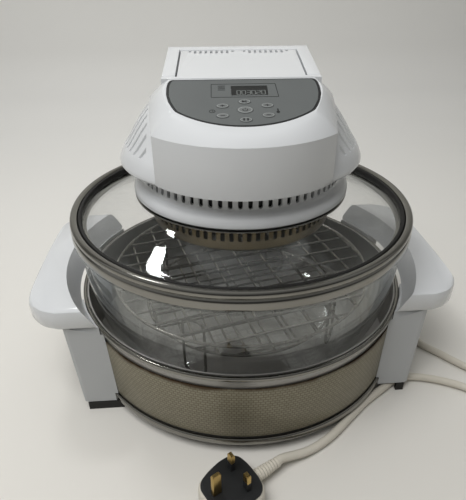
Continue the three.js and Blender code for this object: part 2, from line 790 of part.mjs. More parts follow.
function addGuard() {
  const inner = guardRadius - guardThickness;
  const neckInner = guardNeckRadius - guardThickness;
  const floorTop = guardBottomZ + guardThickness;
  const neckTop = headFloorZ - gap;
  const shoulderBottom = guardShoulderZ - guardThickness;
  const profile = [
    [0, guardBottomZ], [guardRadius - guardEdge, guardBottomZ], [guardRadius, guardBottomZ + guardEdge],
    [guardRadius, guardShoulderZ], [guardNeckRadius, guardShoulderZ], [guardNeckRadius, neckTop],
    [neckInner, neckTop], [neckInner, shoulderBottom], [inner, shoulderBottom], [inner, floorTop + guardEdge],
    [inner - guardEdge, floorTop], [0, floorTop],
  ];
  const [near, far] = guardSlotShares.map((share) => share * guardRadius);
  const slots = Array.from({ length: guardSlots }, (_, i) => {
    const half = guardSlotWidth / 2;
    const slot = block(near, far, -half, half, guardBottomZ - overshoot, floorTop + overshoot);
    slot.rotateZ((2 * Math.PI * i) / guardSlots);
    return slot;
  });
  const guard = cutFrom(solidOf(turned(profile, midSteps)), slots);
  place("heater_guard", geometryOf(guard), "steel", lidGroup);
  const plate = rectangle(shaftHoleRadius, reflectorRadius, reflectorZ, reflectorZ + guardThickness);
  place("reflector", turned(plate, midSteps), "steel", lidGroup);
}

// A ring-shaped lamp with a small break at its left, where both ends turn up into their holders.
function addLamp() {
  const bends = 16;
  const arc = Array.from({ length: bends + 1 }, (_, i) => {
    const angle = Math.PI + lampHalfBreak + ((2 * Math.PI - 2 * lampHalfBreak) * i) / bends;
    return [lampRadius * Math.cos(angle), lampRadius * Math.sin(angle), lampZ];
  });
  const ends = [arc[0], arc[bends]];
  const [first, last] = ends.map(([x, y]) => [x, y, holderBottomZ - gap]);
  place("halogen_lamp", tube([first, ...arc, last], lampTube, 6, 36, 0.5), "lamp", lidGroup);
  ["lamp_holder_a", "lamp_holder_b"].forEach((name, i) => {
    const [x, y] = ends[i];
    const near = holderSize / 2 + gap;
    const [y0, y1] = sideSpan(Math.sign(y), near, near + holderLength);
    const holder = block(x - holderSize / 2, x + holderSize / 2, y0, y1, holderBottomZ, holderTopZ);
    place(name, holder, "ceramic", lidGroup);
  });
}

function bladeRing(radius, z, width, twist) {
  return Array.from({ length: fanBlades }, (_, i) => {
    const half = guardThickness / 2;
    const blade = block(shaftRadius * 2, radius, -width / 2, width / 2, -half, half);
    blade.rotateX(twist);
    blade.rotateZ((2 * Math.PI * i) / fanBlades);
    blade.translate(0, 0, z);
    return blade;
  });
}

function addFans() {
  const motorBottom = headFloorZ + headFloorThickness + gap;
  const motorTop = motorBottom + motorHeight;
  const hub = (bottom, top) => rod([0, 0, bottom], [0, 0, top], fanHubRadius, fanHubRadius, smallSteps);
  const shaft = rod([0, 0, fanZ], [0, 0, motorBottom - gap], shaftRadius, shaftRadius, smallSteps);
  const hotHub = hub(fanZ - fanHubHeight / 2, fanZ + fanHubHeight / 2);
  const hotFan = united([hotHub, shaft, ...bladeRing(fanRadius, fanZ, fanBladeWidth, fanBladeTwist)]);
  place("hot_air_fan", geometryOf(hotFan), "steel", lidGroup);
  const motor = rectangle(0, motorRadius, motorBottom, motorTop);
  place("fan_motor", turned(motor, midSteps), "steel", lidGroup);
  const coolZ = motorTop + fanHubHeight;
  const coolHub = hub(motorTop + gap, coolZ + fanHubHeight / 2);
  const coolFan = united([coolHub, ...bladeRing(coolingFanRadius, coolZ, coolingBladeWidth, fanBladeTwist)]);
  place("cooling_fan", geometryOf(coolFan), "charcoal", lidGroup);
}

// Points on a flat arc that bulges towards -y below its chord on y = 0.
function arcThrough(halfChord, sagitta, steps) {
  const radius = (halfChord * halfChord + sagitta * sagitta) / (2 * sagitta);
  const half = Math.asin(halfChord / radius);
  return Array.from({ length: steps + 1 }, (_, i) => {
    const angle = -half + (2 * half * i) / steps;
    return [radius * Math.sin(angle), radius - sagitta - radius * Math.cos(angle)];
  });
}

// Point on the panel plane, raised along its normal.
function onPanel(u, v, height) {
  const [c, s] = [Math.cos(panelSlope), Math.sin(panelSlope)];
  return [u + panelU, panelY + v * c - height * s, panelZ + v * s + height * c];
}

function panelOutline() {
  const [cornerU, cornerV] = panelShoulders[panelShoulders.length - 1];
  const bottom = arcThrough(cornerU, panelBottomV + cornerV, arcSteps + 2).map(([u, v]) => [u, v + cornerV]);
  const side = panelShoulders.slice(0, -1);
  const left = side.map(([u, v]) => [-u, v]);
  return [...bottom, ...side.reverse(), [panelHalfTop, panelTopV], [-panelHalfTop, panelTopV], ...left];
}

function panelSlab(outline, bottom, top) {
  return lofted([bottom, top].map((height) => outline.map(([u, v]) => onPanel(u, v, height))));
}

function consoleSolid(wall) {
  const front = arcThrough(consoleCornerX, consoleFrontY - consoleCornerY, arcSteps);
  const right = consoleSide.map(([x, y]) => [x, -y]);
  const left = consoleSide.map(([x, y]) => [-x, -y]).reverse();
  const plan = insetOutline([...front.map(([x, y]) => [x, y - consoleCornerY]), ...right, ...left], wall);
  const sideZ = [...consoleSideCreaseZ, ...consoleSideCreaseZ.slice().reverse()];
  const creaseZ = (i) => (i > arcSteps ? sideZ[i - arcSteps - 1] : consoleCreaseZ) - wall;
  const crease = plan.map(([x, y], i) => [x, y, creaseZ(i)]);
  const [cornerU, cornerV] = panelShoulders[panelShoulders.length - 1];
  const bezelShare = 0.6;
  const frontTop = arcThrough(
    cornerU + bezelInset * bezelShare,
    panelBottomV + cornerV + bezelInset * (1 - bezelShare),
    arcSteps,
  ).map(([u, v]) => [u, v + cornerV - bezelInset * bezelShare]);
  const mirroredShoulders = bezelShoulders.map(([u, v]) => [-u, v]).reverse();
  const topOutline = insetOutline([...frontTop, ...bezelShoulders, ...mirroredShoulders], wall);
  const top = topOutline.map(([u, v]) => onPanel(u - panelU, v, -wall * panelWallShare));
  const bottomZ = wall > 0 ? housingBottomZ - housingWall : consoleBottomZ;
  return lofted([atHeight(plan, bottomZ), crease, top]);
}

function spineHeight(y) {
  return spineTopZ + (y + spineFrontY) * Math.tan(spineSlope);
}

// The block on top of the housing, its top rising to the back and rounded down at the back edge.
function spineBlock(halfWidth, frontY, backY, drop, bottomZ) {
  const [corner, share] = [spineCorner, spineCornerShare];
  const outline = [
    [-halfWidth, -frontY], [halfWidth, -frontY], [halfWidth, backY - corner],
    [halfWidth - corner * share, backY - corner * share], [halfWidth - corner, backY],
    [-halfWidth + corner, backY], [-halfWidth + corner * share, backY - corner * share],
    [-halfWidth, backY - corner],
  ];
  const isBack = (y) => y > backY - corner * share - overshoot;
  const shoulder = outline.map(([x, y]) => {
    return [x, y, spineHeight(y) - drop - (isBack(y) ? spineBackDrop : spineEdge)];
  });
  const top = insetOutline(outline, spineEdge).map(([x, y], i) => {
    const pulled = isBack(outline[i][1]) ? y - spineBackDrop : y;
    return [x, pulled, spineHeight(pulled) - drop];
  });
  return lofted([atHeight(outline, bottomZ), shoulder, top]);
}

// A block whose top and bottom follow the slope of the spine.
function slopedBlock(x0, x1, y0, y1, dropTop, dropBottom) {
  const corners = rectangle(x0, x1, y0, y1);
  const level = (drop) => corners.map(([x, y]) => [x, y, spineHeight(y) - drop]);
  return lofted([level(dropBottom), level(dropTop)]);
}

// The round wings, full at the back and drawn in at the front.
function domeSolid(shrink, topZ) {
  const shrunk = domeProfile.map(([radius, z]) => [radius - shrink, z - shrink * domeDropShare]);
  const side = shrunk.filter(([, z]) => z < topZ);
  const bottomRadius = domeProfile[0][0] - housingRimInset - shrink;
  const bottomZ = shrink > 0 ? housingBottomZ - housingWall : housingBottomZ;
  const topRadius = side[side.length - 1][0] * domeTopShare;
  const top = Math.min(topZ, domeTopZ);
  const profile = [[0, bottomZ], [bottomRadius, bottomZ], ...side, [topRadius, top], [0, top]];
  const dome = turned(profile, wideSteps);
  const p = dome.attributes.position;
  for (let i = 0; i < p.count; i++) {
    if (p.getY(i) < 0) p.setY(i, p.getY(i) * domeFrontShare);
  }
  return dome;
}

function wingGrooves() {
  const cutters = [];
  for (const side of [-1, 1]) {
    const [x0, x1] = sideSpan(side, grooveInnerX, domeProfile[0][0] + grooveWidth);
    for (let i = 0; i < grooveCount; i++) {
      const y = -grooveFirstY + i * groovePitch;
      cutters.push(block(x0, x1, y - grooveWidth / 2, y + grooveWidth / 2, grooveBottomZ, domeTopZ));
    }
  }
  return united(cutters).subtract(solidOf(domeSolid(grooveDepth, domeTopZ)));
}

// Air slots in the spine's rounded back edge, the first and last of each row short.
function rearVents() {
  const top = spineHeight(spineBackY) + overshoot;
  const vents = [];
  for (const side of [-1, 1]) {
    for (let i = 0; i < rearVentCount; i++) {
      const x = side * (rearVentFirstX + i * rearVentPitch);
      const isEnd = i === 0 || i === rearVentCount - 1;
      const length = isEnd ? rearVentShortLength : rearVentLength;
      const start = rearVentFrontY + (rearVentLength - length) / 2;
      const half = rearVentWidth / 2;
      vents.push(block(x - half, x + half, start, start + length, cavityTopZ, top));
    }
  }
  return vents;
}

function addHousing() {
  const shell = united([
    domeSolid(0, domeTopZ),
    consoleSolid(0),
    spineBlock(spineHalfWidth, spineFrontY, spineBackY, 0, spineBottomZ),
  ]);
  const cavity = united([
    domeSolid(housingWall, cavityTopZ),
    consoleSolid(housingWall),
    spineBlock(
      handleSlitX - spineWall, handleSlitFrontY - spineWall, spineBackY - spineWall, spineWall, spineBottomZ,
    ),
  ]);
  const webBottom = headTopZ + gap;
  const webInner = ventWallRadius - ventWallThickness;
  const web = rectangle(webInner, domeProfile[0][0], webBottom, webBottom + webThickness);
  const pivotZ = spineHeight(handlePivotY) - handleThickness / 2;
  const boreRadius = pivotRadius + gap;
  const tools = rearVents();
  for (const side of [-1, 1]) {
    const [x0, x1] = sideSpan(side, handleSlitX, spineHalfWidth + looseGap);
    const recessDepth = handleThickness + looseGap;
    tools.push(slopedBlock(x0, x1, -handleSlitFrontY, spineBackY + looseGap, -looseGap, recessDepth));
    const [start, end] = sideSpan(side, pivotRootX, handleInnerX);
    const [from, to] = [start, end].map((x) => [x, handlePivotY, pivotZ]);
    tools.push(rod(from, to, boreRadius, boreRadius, smallSteps));
  }
  tools.push(panelSlab(insetOutline(panelOutline(), -gap), -panelPocket, panelPocket * 2));
  const [holeStart, holeEnd] = [glandRootY - overshoot, glandFlangeY + overshoot];
  const holeRadius = glandRadius + gap;
  tools.push(rod([0, holeStart, glandZ], [0, holeEnd, glandZ], holeRadius, holeRadius, smallSteps));
  const fused = shell.subtract(cavity).add(solidOf(turned(web, wideSteps)).intersect(shell));
  const housing = cutFrom(fused.subtract(wingGrooves()), tools);
  place("housing", geometryOf(biggestBody(housing)), "whitePlastic", lidGroup);
}

function addPanel() {
  const outline = panelOutline();
  const opening = panelSlab(insetOutline(outline, trimWidth), -panelThickness * 2, panelThickness);
  const trim = cutFrom(solidOf(panelSlab(outline, -panelThickness, 0)), [opening]);
  place("panel_trim", geometryOf(trim), "charcoal", lidGroup);
  const keys = [
    ["key_play", 0, keyPlayV, keyRadii], ["key_power", 0, keyPowerV, powerKeyRadii],
    ["key_pause", 0, keyPauseV, keyRadii], ["key_time_plus", -keySideU, keyPlusV, keyRadii],
    ["key_time_minus", -keySideU, keyMinusV, keyRadii], ["key_temp_plus", keySideU, keyPlusV, keyRadii],
    ["key_temp_minus", keySideU, keyMinusV, keyRadii],
  ];
  const window = (margin) => {
    const [w, h] = [displayWidth / 2 + margin, displayHeight / 2 + margin];
    return rectangle(displayU - w, displayU + w, displayV - h, displayV + h);
  };
  const through = (shape) => panelSlab(shape, -panelThickness * 2, panelThickness);
  const holes = keys.map(([, u, v, [ru, rv]]) => through(ellipse(u, v, ru + gap, rv + gap, keySteps)));
  holes.push(through(window(gap)));
  const face = panelSlab(insetOutline(outline, trimWidth + gap), -panelThickness, 0);
  place("control_panel", geometryOf(cutFrom(solidOf(face), holes)), "greyPlastic", lidGroup);
  place("display_lens", panelSlab(window(0), -panelThickness, -gap), "charcoal", lidGroup);
  for (const [name, u, v, [ru, rv]] of keys) {
    place(name, panelSlab(ellipse(u, v, ru, rv, keySteps), -keyDepth, keyProud), "greyPlastic", lidGroup);
  }
  const board = rectangle(-boardHalfWidth, boardHalfWidth, boardFrontV, boardBackV);
  const boardTop = -housingWall * panelWallShare - gap;
  place("control_board", panelSlab(board, boardTop - boardThickness, boardTop), "board", lidGroup);
}

function addCarryHandle() {
  const half = handleThickness / 2;
  const [edge, reach, barStart] = [handleEdge, handleReach, handleReach - handleBarDepth];
  const roundSteps = 6;
  const frontRound = Array.from({ length: roundSteps + 1 }, (_, i) => {
    const angle = Math.PI / 2 + (Math.PI * i) / roundSteps;
    return [half * Math.cos(angle), half * Math.sin(angle)];
  });
  const arm = [[reach - edge, -half], [reach - edge, half], ...frontRound];
  const bar = [
    [barStart + edge, -half], [reach - edge, -half], [reach, -half + edge], [reach, half - edge],
    [reach - edge, half], [barStart + edge, half], [barStart, half - edge], [barStart, -half + edge],
  ];
  const prism = (profile, x0, x1) => lofted([x0, x1].map((x) => profile.map(([y, z]) => [x, y, z])));
  const whole = united([
    prism(arm, handleInnerX, handleOuterX),
    prism(arm, -handleOuterX, -handleInnerX),
    prism(bar, -handleOuterX, handleOuterX),
  ]);
  const bores = [-1, 1].map((side) => {
    const [x0, x1] = sideSpan(side, handleInnerX - overshoot, pivotEndX + gap);
    return rod([x0, 0, 0], [x1, 0, 0], pivotRadius + gap, pivotRadius + gap, smallSteps);
  });
  const handle = geometryOf(cutFrom(whole, bores));
  handle.rotateX(spineSlope);
  const pivotZ = spineHeight(handlePivotY) - half;
  handle.translate(0, handlePivotY, pivotZ);
  place("carry_handle", handle, "whitePlastic", lidGroup);
  for (const [name, side] of [["handle_pin_left", -1], ["handle_pin_right", 1]]) {
    const [x0, x1] = sideSpan(side, pivotRootX + gap, pivotEndX);
    const [from, to] = [x0, x1].map((x) => [x, handlePivotY, pivotZ]);
    place(name, rod(from, to, pivotRadius, pivotRadius, keySteps), "steel", lidGroup);
  }
}

function addGland() {
  const flangeEndY = glandFlangeY + glandFlangeThickness;
  const profile = [
    [0, glandRootY], [glandRadius, glandRootY], [glandRadius, glandFlangeY],
    [glandFlangeRadius, glandFlangeY], [glandFlangeRadius, flangeEndY], [glandRadius, flangeEndY],
    [glandTailRadius, glandTailY], [0, glandTailY],
  ];
  const gland = turned(profile, smallSteps);
  gland.rotateX(-Math.PI / 2);
  gland.translate(0, 0, glandZ);
  place("cord_gland", gland, "charcoal", lidGroup);
}

function plugPoint(along, across, z) {
  const [c, s] = [Math.cos(plugTurn), Math.sin(plugTurn)];
  return [plugX + along * c - across * s, plugY + along * s + across * c, z];
}

function addPlug() {
  const outline = [...plugOutline, ...plugOutline.map(([x, y]) => [x, -y]).reverse()];
  const ringAt = (inset, z) => insetOutline(outline, inset).map(([x, y]) => plugPoint(x, y, z));
  const body = lofted([
    ringAt(plugEdge, plugBottomZ), ringAt(0, plugBottomZ + plugEdge), ringAt(0, plugBodyTopZ - plugTopEdge),
    ringAt(plugTopEdge, plugBodyTopZ),
  ]);
  place("plug_body", body, "cord");
  const face = lofted([ringAt(plugFaceInset, plugBodyTopZ + gap), ringAt(plugFaceInset, plugFaceTopZ)]);
  place("plug_face", face, "rubber");
  const pins = [
    ["plug_pin_earth", 0, 0, earthPin], ["plug_pin_line", pinSpacing, -pinSpacing / 2, linePin],
    ["plug_pin_neutral", pinSpacing, pinSpacing / 2, linePin],
  ];
  for (const [name, along, across, [length, width, height]] of pins) {
    const [l, w] = [length / 2, width / 2];
    const outlineOfPin = rectangle(along - l, along + l, across - w, across + w);
    const ring = (z) => outlineOfPin.map(([x, y]) => plugPoint(x, y, z));
    const root = plugFaceTopZ + gap;
    place(name, lofted([ring(root), ring(root + height)]), "brass");
  }
  const start = plugPoint(plugOutline[0][0] + gap, 0, plugCordZ);
  const end = plugPoint(plugOutline[0][0] + reliefLength, 0, plugCordZ);
  place("plug_relief", rod(start, end, reliefRadius, reliefTailRadius, keySteps), "cord");
}

function addCord() {
  const upright = new THREE.Vector3(0, 0, 1);
  const outlet = new THREE.Vector3(0, glandTailY + gap, glandZ + bowlRimZ).applyAxisAngle(upright, headTurn);
  const exit = plugOutline[0][0] + reliefLength + gap;
  const route = [
    outlet.toArray(), ...cordDrop, ...cordOnTable.map(([x, y]) => [x, y, cordTableZ]), cordNearPlug,
    plugPoint(exit + cordStraight, 0, plugCordZ), plugPoint(exit, 0, plugCordZ),
  ];
  place("power_cord", tube(route, cordDiameter / 2, cordSides, cordSteps, 0.5), "cord");
}

addDrum();
addLegs();
addGrips();
addBowl();
addRacks();
addLidGlass();
addHeadBase();
addGuard();
addLamp();
addFans();
addHousing();
addPanel();
addCarryHandle();
addGland();
addPlug();
addCord();

export default product;
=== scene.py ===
"""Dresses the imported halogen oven: its glass bowl and lid, white head and stand, racks, panel and lead.

Sizes are written in millimetres and turned to metres where a mesh is made.
"""

import logging
import math
from collections.abc import Sequence
from dataclasses import dataclass
from enum import Enum

import bmesh
import bpy
import numpy as np
from mathutils import Matrix, Vector


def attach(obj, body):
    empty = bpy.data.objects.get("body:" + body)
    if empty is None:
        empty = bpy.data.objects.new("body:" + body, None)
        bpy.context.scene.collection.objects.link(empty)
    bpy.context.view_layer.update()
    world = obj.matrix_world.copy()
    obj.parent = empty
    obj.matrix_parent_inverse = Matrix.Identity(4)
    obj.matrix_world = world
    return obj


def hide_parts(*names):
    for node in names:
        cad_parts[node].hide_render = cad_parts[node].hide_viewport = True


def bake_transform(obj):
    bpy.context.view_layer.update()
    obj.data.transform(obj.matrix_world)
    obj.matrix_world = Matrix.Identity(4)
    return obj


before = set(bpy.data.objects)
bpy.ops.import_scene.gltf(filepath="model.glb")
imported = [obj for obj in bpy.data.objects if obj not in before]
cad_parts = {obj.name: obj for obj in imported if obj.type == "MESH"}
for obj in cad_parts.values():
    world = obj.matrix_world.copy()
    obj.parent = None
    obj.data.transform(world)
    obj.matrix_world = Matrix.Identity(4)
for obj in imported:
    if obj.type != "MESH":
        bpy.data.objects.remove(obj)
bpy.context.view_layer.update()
MM = 0.001
HEAD_TURN = math.radians(-2.5)
log = logging.getLogger("halogen_oven")

Piece = bpy.types.Object
Look = bpy.types.Material
Looks = dict[str, Look]
Outline = Sequence[tuple[float, float]]


class Body(Enum):
    """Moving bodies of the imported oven."""

    BASE = "base"
    LID = "lid"
    HANDLE = "handle"
    RACK_LOW = "rack_low"
    RACK_HIGH = "rack_high"


UNTURNED = (Body.BASE, Body.RACK_LOW, Body.RACK_HIGH)


def linear(display: tuple[int, int, int]) -> tuple[float, float, float, float]:
    """Turns display values from 0 to 255 into the linear colour that a shader takes.

    Args:
        display: Red, green and blue as displayed.

    Returns:
        Linear red, green and blue, and full opacity.
    """
    channels = [c / 255 for c in display]
    curved = [c / 12.92 if c <= 0.04045 else ((c + 0.055) / 1.055) ** 2.4 for c in channels]
    return (*curved, 1.0)


def rectangle(x0: float, y0: float, x1: float, y1: float) -> Outline:
    """Gives the four corners between two opposite ones."""
    return [(x0, y0), (x1, y0), (x1, y1), (x0, y1)]


def mirrored(half: np.ndarray) -> np.ndarray:
    """Closes the right half of a plan with its mirror image on the left."""
    return np.vstack([half, half[::-1] * np.array([-1, 1])])


def front_arc(half: float, sag: float, front: float, count: int) -> np.ndarray:
    """Gives a shallow arc that bulges towards the front, of radius (half^2 + sag^2) / (2 sag).

    Args:
        half: Half the distance between its ends.
        sag: How far its middle lies in front of its ends.
        front: Place of its middle from back to front.
        count: Points along it.

    Returns:
        Points from left to right.
    """
    radius = (half**2 + sag**2) / (2 * sag)
    reach = math.asin(half / radius)
    angle = np.linspace(-reach, reach, count)
    return np.column_stack([radius * np.sin(angle), front + radius - radius * np.cos(angle)])


def rounded(outline: Outline, radius: float, steps: int = 4) -> Outline:
    """Rounds each corner of a closed outline with a curve that leaves each side at the same distance.

    Args:
        outline: Corners in order.
        radius: Distance from the corner at which the curve starts.
        steps: Points added along each curve.

    Returns:
        The rounded outline.
    """
    corners = np.asarray(outline, float)
    before = np.roll(corners, 1, 0) - corners
    after = np.roll(corners, -1, 0) - corners
    reach = [np.minimum(radius, np.linalg.norm(side, axis=1) * 0.45)[:, None] for side in (before, after)]
    start = corners + before / np.linalg.norm(before, axis=1)[:, None] * reach[0]
    end = corners + after / np.linalg.norm(after, axis=1)[:, None] * reach[1]
    t = np.linspace(0, 1, steps + 1)[None, :, None]
    curve = (1 - t) ** 2 * start[:, None] + 2 * t * (1 - t) * corners[:, None] + t**2 * end[:, None]
    return [tuple(p) for p in curve.reshape(-1, 2)]


def smooth_path(points: Sequence, samples: int) -> np.ndarray:
    """Runs a Catmull-Rom curve through points, evenly spaced in its own parameter.

    Args:
        points: Points that the curve passes through.
        samples: Points wanted along the curve.

    Returns:
        Points along the curve.
    """
    known = np.asarray(points, float)
    padded = np.vstack([2 * known[0] - known[1], known, 2 * known[-1] - known[-2]])
    place = np.linspace(0, len(known) - 1, samples)
    index = np.minimum(place.astype(int), len(known) - 2)
    t = (place - index)[:, None]
    p0, p1, p2, p3 = (padded[index + k] for k in range(4))
    square, cube = 2 * p0 - 5 * p1 + 4 * p2 - p3, 3 * p1 - p0 - 3 * p2 + p3
    return 0.5 * (2 * p1 + (p2 - p0) * t + square * t**2 + cube * t**3)


def grid_faces(rows: int, columns: int, wrap_rows: bool, wrap_columns: bool) -> list[list[int]]:
    """Joins a grid of points into four-cornered faces.

    Args:
        rows: Number of rows of points.
        columns: Points in a row.
        wrap_rows: Whether the last row meets the first.
        wrap_columns: Whether a row closes on itself.

    Returns:
        Corner numbers of each face.
    """
    i = np.arange(rows if wrap_rows else rows - 1)[:, None]
    j = np.arange(columns if wrap_columns else columns - 1)[None, :]
    next_i, next_j = (i + 1) % rows, (j + 1) % columns
    corners = [i * columns + j, next_i * columns + j, next_i * columns + next_j, i * columns + next_j]
    return np.stack(np.broadcast_arrays(*corners), -1).reshape(-1, 4).tolist()


def mesh_object(name: str, vertices: np.ndarray, faces: list) -> Piece:
    """Makes an object from points in millimetres and links it to the scene.

    Args:
        name: Name of the piece.
        vertices: Points, one row each.
        faces: Corner numbers of each face.

    Returns:
        The new object, with its place in its mesh.
    """
    mesh = bpy.data.meshes.new(name)
    mesh.from_pydata((np.asarray(vertices, float) * MM).tolist(), [], faces)
    mesh.validate()
    piece = bpy.data.objects.new(name, mesh)
    bpy.context.scene.collection.objects.link(piece)
    return piece


def shaded(piece: Piece, sharp_degrees: float) -> Piece:
    """Shades a piece smooth, apart from edges bent more than an angle."""
    piece.data.shade_smooth()
    piece.data.set_sharp_from_angle(angle=math.radians(sharp_degrees))
    return piece


def tidy_surface(piece: Piece, sharp_degrees: float = 32.0) -> Piece:
    """Merges doubled points, turns faces outwards and shades the piece smooth up to an angle.

    Args:
        piece: The piece to finish.
        sharp_degrees: Edges bent more than this stay crisp.

    Returns:
        The same piece.
    """
    shape = bmesh.new()
    shape.from_mesh(piece.data)
    bmesh.ops.remove_doubles(shape, verts=shape.verts, dist=1e-7)
    bmesh.ops.recalc_face_normals(shape, faces=shape.faces)
    shape.to_mesh(piece.data)
    shape.free()
    return shaded(piece, sharp_degrees)


def revolve(name: str, profile: Outline, steps: int = 180, closed: bool = True) -> Piece:
    """Turns a profile of radius and height round the upright axis.

    Args:
        name: Name of the piece.
        profile: Radius and height of each corner.
        steps: Steps round the axis.
        closed: Whether the profile closes on itself. An open one starts and ends on the axis.

    Returns:
        The turned piece: x = r cos a, y = r sin a, z = height.
    """
    line = np.asarray(profile, float)
    angle = np.linspace(0, 2 * math.pi, steps, endpoint=False)[:, None]
    radius, height = line[None, :, 0], line[None, :, 1]
    points = np.stack(np.broadcast_arrays(radius * np.cos(angle), radius * np.sin(angle), height), -1)
    return tidy_surface(mesh_object(name, points.reshape(-1, 3), grid_faces(steps, len(line), True, closed)))


def loft(name: str, rings: Sequence, sharp_degrees: float = 32.0) -> Piece:
    """Skins a row of closed rings and closes both ends with a flat face.

    Args:
        name: Name of the piece.
        rings: Rings with the same number of points.
        sharp_degrees: Edges bent more than this stay crisp.

    Returns:
        The closed piece.
    """
    points = np.array(rings)
    rows, columns, _ = points.shape
    last = (rows - 1) * columns
    faces = grid_faces(rows, columns, False, True)
    faces += [list(range(columns)), [last + k for k in range(columns)]]
    return tidy_surface(mesh_object(name, points.reshape(-1, 3), faces), sharp_degrees)


def tube(
    name: str, path: np.ndarray, radius: float | np.ndarray, sides: int = 12, closed: bool = False
) -> Piece:
    """Carries a circle along a path without twisting it.

    Args:
        name: Name of the piece.
        path: Points along the middle line.
        radius: Radius, or one for each point.
        sides: Points round the circle.
        closed: Whether the path closes on itself.

    Returns:
        The tube: point + radius (cos a normal + sin a binormal).
    """
    line = np.asarray(path, float)
    tangent = np.roll(line, -1, 0) - np.roll(line, 1, 0) if closed else np.gradient(line, axis=0)
    tangent /= np.linalg.norm(tangent, axis=1)[:, None]
    carried = np.array([0, 0, 1.0]) if abs(tangent[0][2]) < 0.9 else np.array([1.0, 0, 0])
    normal = np.zeros_like(line)
    for k, direction in enumerate(tangent):
        carried = carried - direction * (carried @ direction)
        carried /= np.linalg.norm(carried)
        normal[k] = carried
    binormal = np.cross(tangent, normal)
    angle = np.linspace(0, 2 * math.pi, sides, endpoint=False)[None, :, None]
    size = np.broadcast_to(np.asarray(radius, float), (len(line),))[:, None, None]
    rings = line[:, None] + size * (np.cos(angle) * normal[:, None] + np.sin(angle) * binormal[:, None])
    if closed:
        faces = grid_faces(len(line), sides, True, True)
        return tidy_surface(mesh_object(name, rings.reshape(-1, 3), faces), 60)
    return loft(name, rings, 60)


def block(name: str, low: tuple[float, float, float], high: tuple[float, float, float]) -> Piece:
    """Makes an upright block between its lowest and its highest corner."""
    plan = rectangle(low[0], low[1], high[0], high[1])
    return loft(name, [[(x, y, z) for x, y in plan] for z in (low[2], high[2])])


def joined(name: str, pieces: list[Piece]) -> Piece:
    """Puts several meshes into one object.

    Args:
        name: Name of the joined piece.
        pieces: Pieces to join, which are then removed.

    Returns:
        The joined piece.
    """
    shape = bmesh.new()
    for piece in pieces:
        shape.from_mesh(piece.data)
        bpy.data.objects.remove(piece)
    mesh = bpy.data.meshes.new(name)
    shape.to_mesh(mesh)
    shape.free()
    whole = bpy.data.objects.new(name, mesh)
    bpy.context.scene.collection.objects.link(whole)
    return shaded(whole, 40)


def settled(piece: Piece) -> None:
    """Replaces a piece's mesh by the one its modifiers make, and removes the modifiers."""
    made = bpy.data.meshes.new_from_object(piece.evaluated_get(bpy.context.evaluated_depsgraph_get()))
    piece.modifiers.clear()
    piece.data = made


def eased(piece: Piece, width: float, segments: int, degrees: float) -> Piece:
    """Rounds the crisp edges of a piece.

    Args:
        piece: The piece to ease.
        width: Width of the rounding.
        segments: Facets across the rounding.
        degrees: Only edges bent more than this are rounded.

    Returns:
        The same piece.
    """
    bevel = piece.modifiers.new("ease", "BEVEL")
    bevel.width = width * MM
    bevel.segments = segments
    bevel.limit_method = "ANGLE"
    bevel.angle_limit = math.radians(degrees)
    settled(piece)
    return shaded(piece, 35)


def combined(piece: Piece, others: list[Piece], operation: str) -> Piece:
    """Joins pieces to one another, or cuts them out of it.

    Args:
        piece: The piece that is kept.
        others: Pieces that are joined or cut, and then removed.
        operation: UNION or DIFFERENCE.

    Returns:
        The same piece, changed.
    """
    for other in others:
        step = piece.modifiers.new("combine", "BOOLEAN")
        step.operation = operation
        step.solver = "EXACT"
        step.object = other
        settled(piece)
        bpy.data.objects.remove(other)
    return shaded(piece, 28)


def dress(piece: Piece, look: Look) -> None:
    """Gives a piece one finish."""
    piece.data.materials.clear()
    piece.data.materials.append(look)


def settle_on(
    piece: Piece, body: Body | str, slot: str, look: Look, *nodes: str
) -> Piece:
    """Gives a piece its finish and body, turns it with the head, and hides the nodes it stands for.

    Args:
        piece: The finished mesh.
        body: Body that the piece moves with.
        slot: Material slot of the record; not used.
        look: Material.
        *nodes: Nodes that the piece replaces.

    Returns:
        The same piece.
    """
    if body not in UNTURNED:
        piece.data.transform(Matrix.Rotation(HEAD_TURN, 4, "Z"))
    dress(piece, look)
    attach(piece, body.value if isinstance(body, Body) else body)
    if nodes:
        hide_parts(*nodes)
    log.info("%s rides on %s", piece.name, body)
    return piece


@dataclass(frozen=True)
class Nodes:
    """A node tree with a short way to add nodes and to fill or link their inputs."""

    tree: bpy.types.NodeTree

    def fill(self, node: bpy.types.Node, inputs: dict) -> None:
        """Sets each named input to a value, or links it where a socket is given."""
        for key, value in inputs.items():
            if isinstance(value, bpy.types.NodeSocket):
                self.tree.links.new(value, node.inputs[key])
            else:
                node.inputs[key].default_value = value

    def add(self, kind: str, inputs: dict, output: str, **settings: str) -> bpy.types.NodeSocket:
        """Adds a node.

        Args:
            kind: Type of the node, without its first word.
            inputs: Values or sockets of its inputs.
            output: The output that is wanted.
            **settings: Settings of the node itself.

        Returns:
            The output socket.
        """
        node = self.tree.nodes.new("ShaderNode" + kind)
        for key, value in settings.items():
            setattr(node, key, value)
        self.fill(node, inputs)
        return node.outputs[output]

    def place(self) -> bpy.types.NodeSocket:
        """Adds the place of a point in its object's own frame."""
        return self.add("TexCoord", {}, "Object")

    def cloud(self, scale: float, detail: float) -> bpy.types.NodeSocket:
        """Adds soft noise over the object's own frame."""
        return self.add("TexNoise", {"Vector": self.place(), "Scale": scale, "Detail": detail}, "Fac")

    def mix(self, share: bpy.types.NodeSocket, first: object, second: object) -> bpy.types.NodeSocket:
        """Adds a mix of two colours."""
        return self.add("Mix", {"Factor": share, "A": first, "B": second}, "Result", data_type="RGBA")

    def relief(self, height: bpy.types.NodeSocket, strength: float) -> bpy.types.NodeSocket:
        """Adds shallow relief from a height."""
        return self.add("Bump", {"Height": height, "Strength": strength, "Distance": 0.0004}, "Normal")


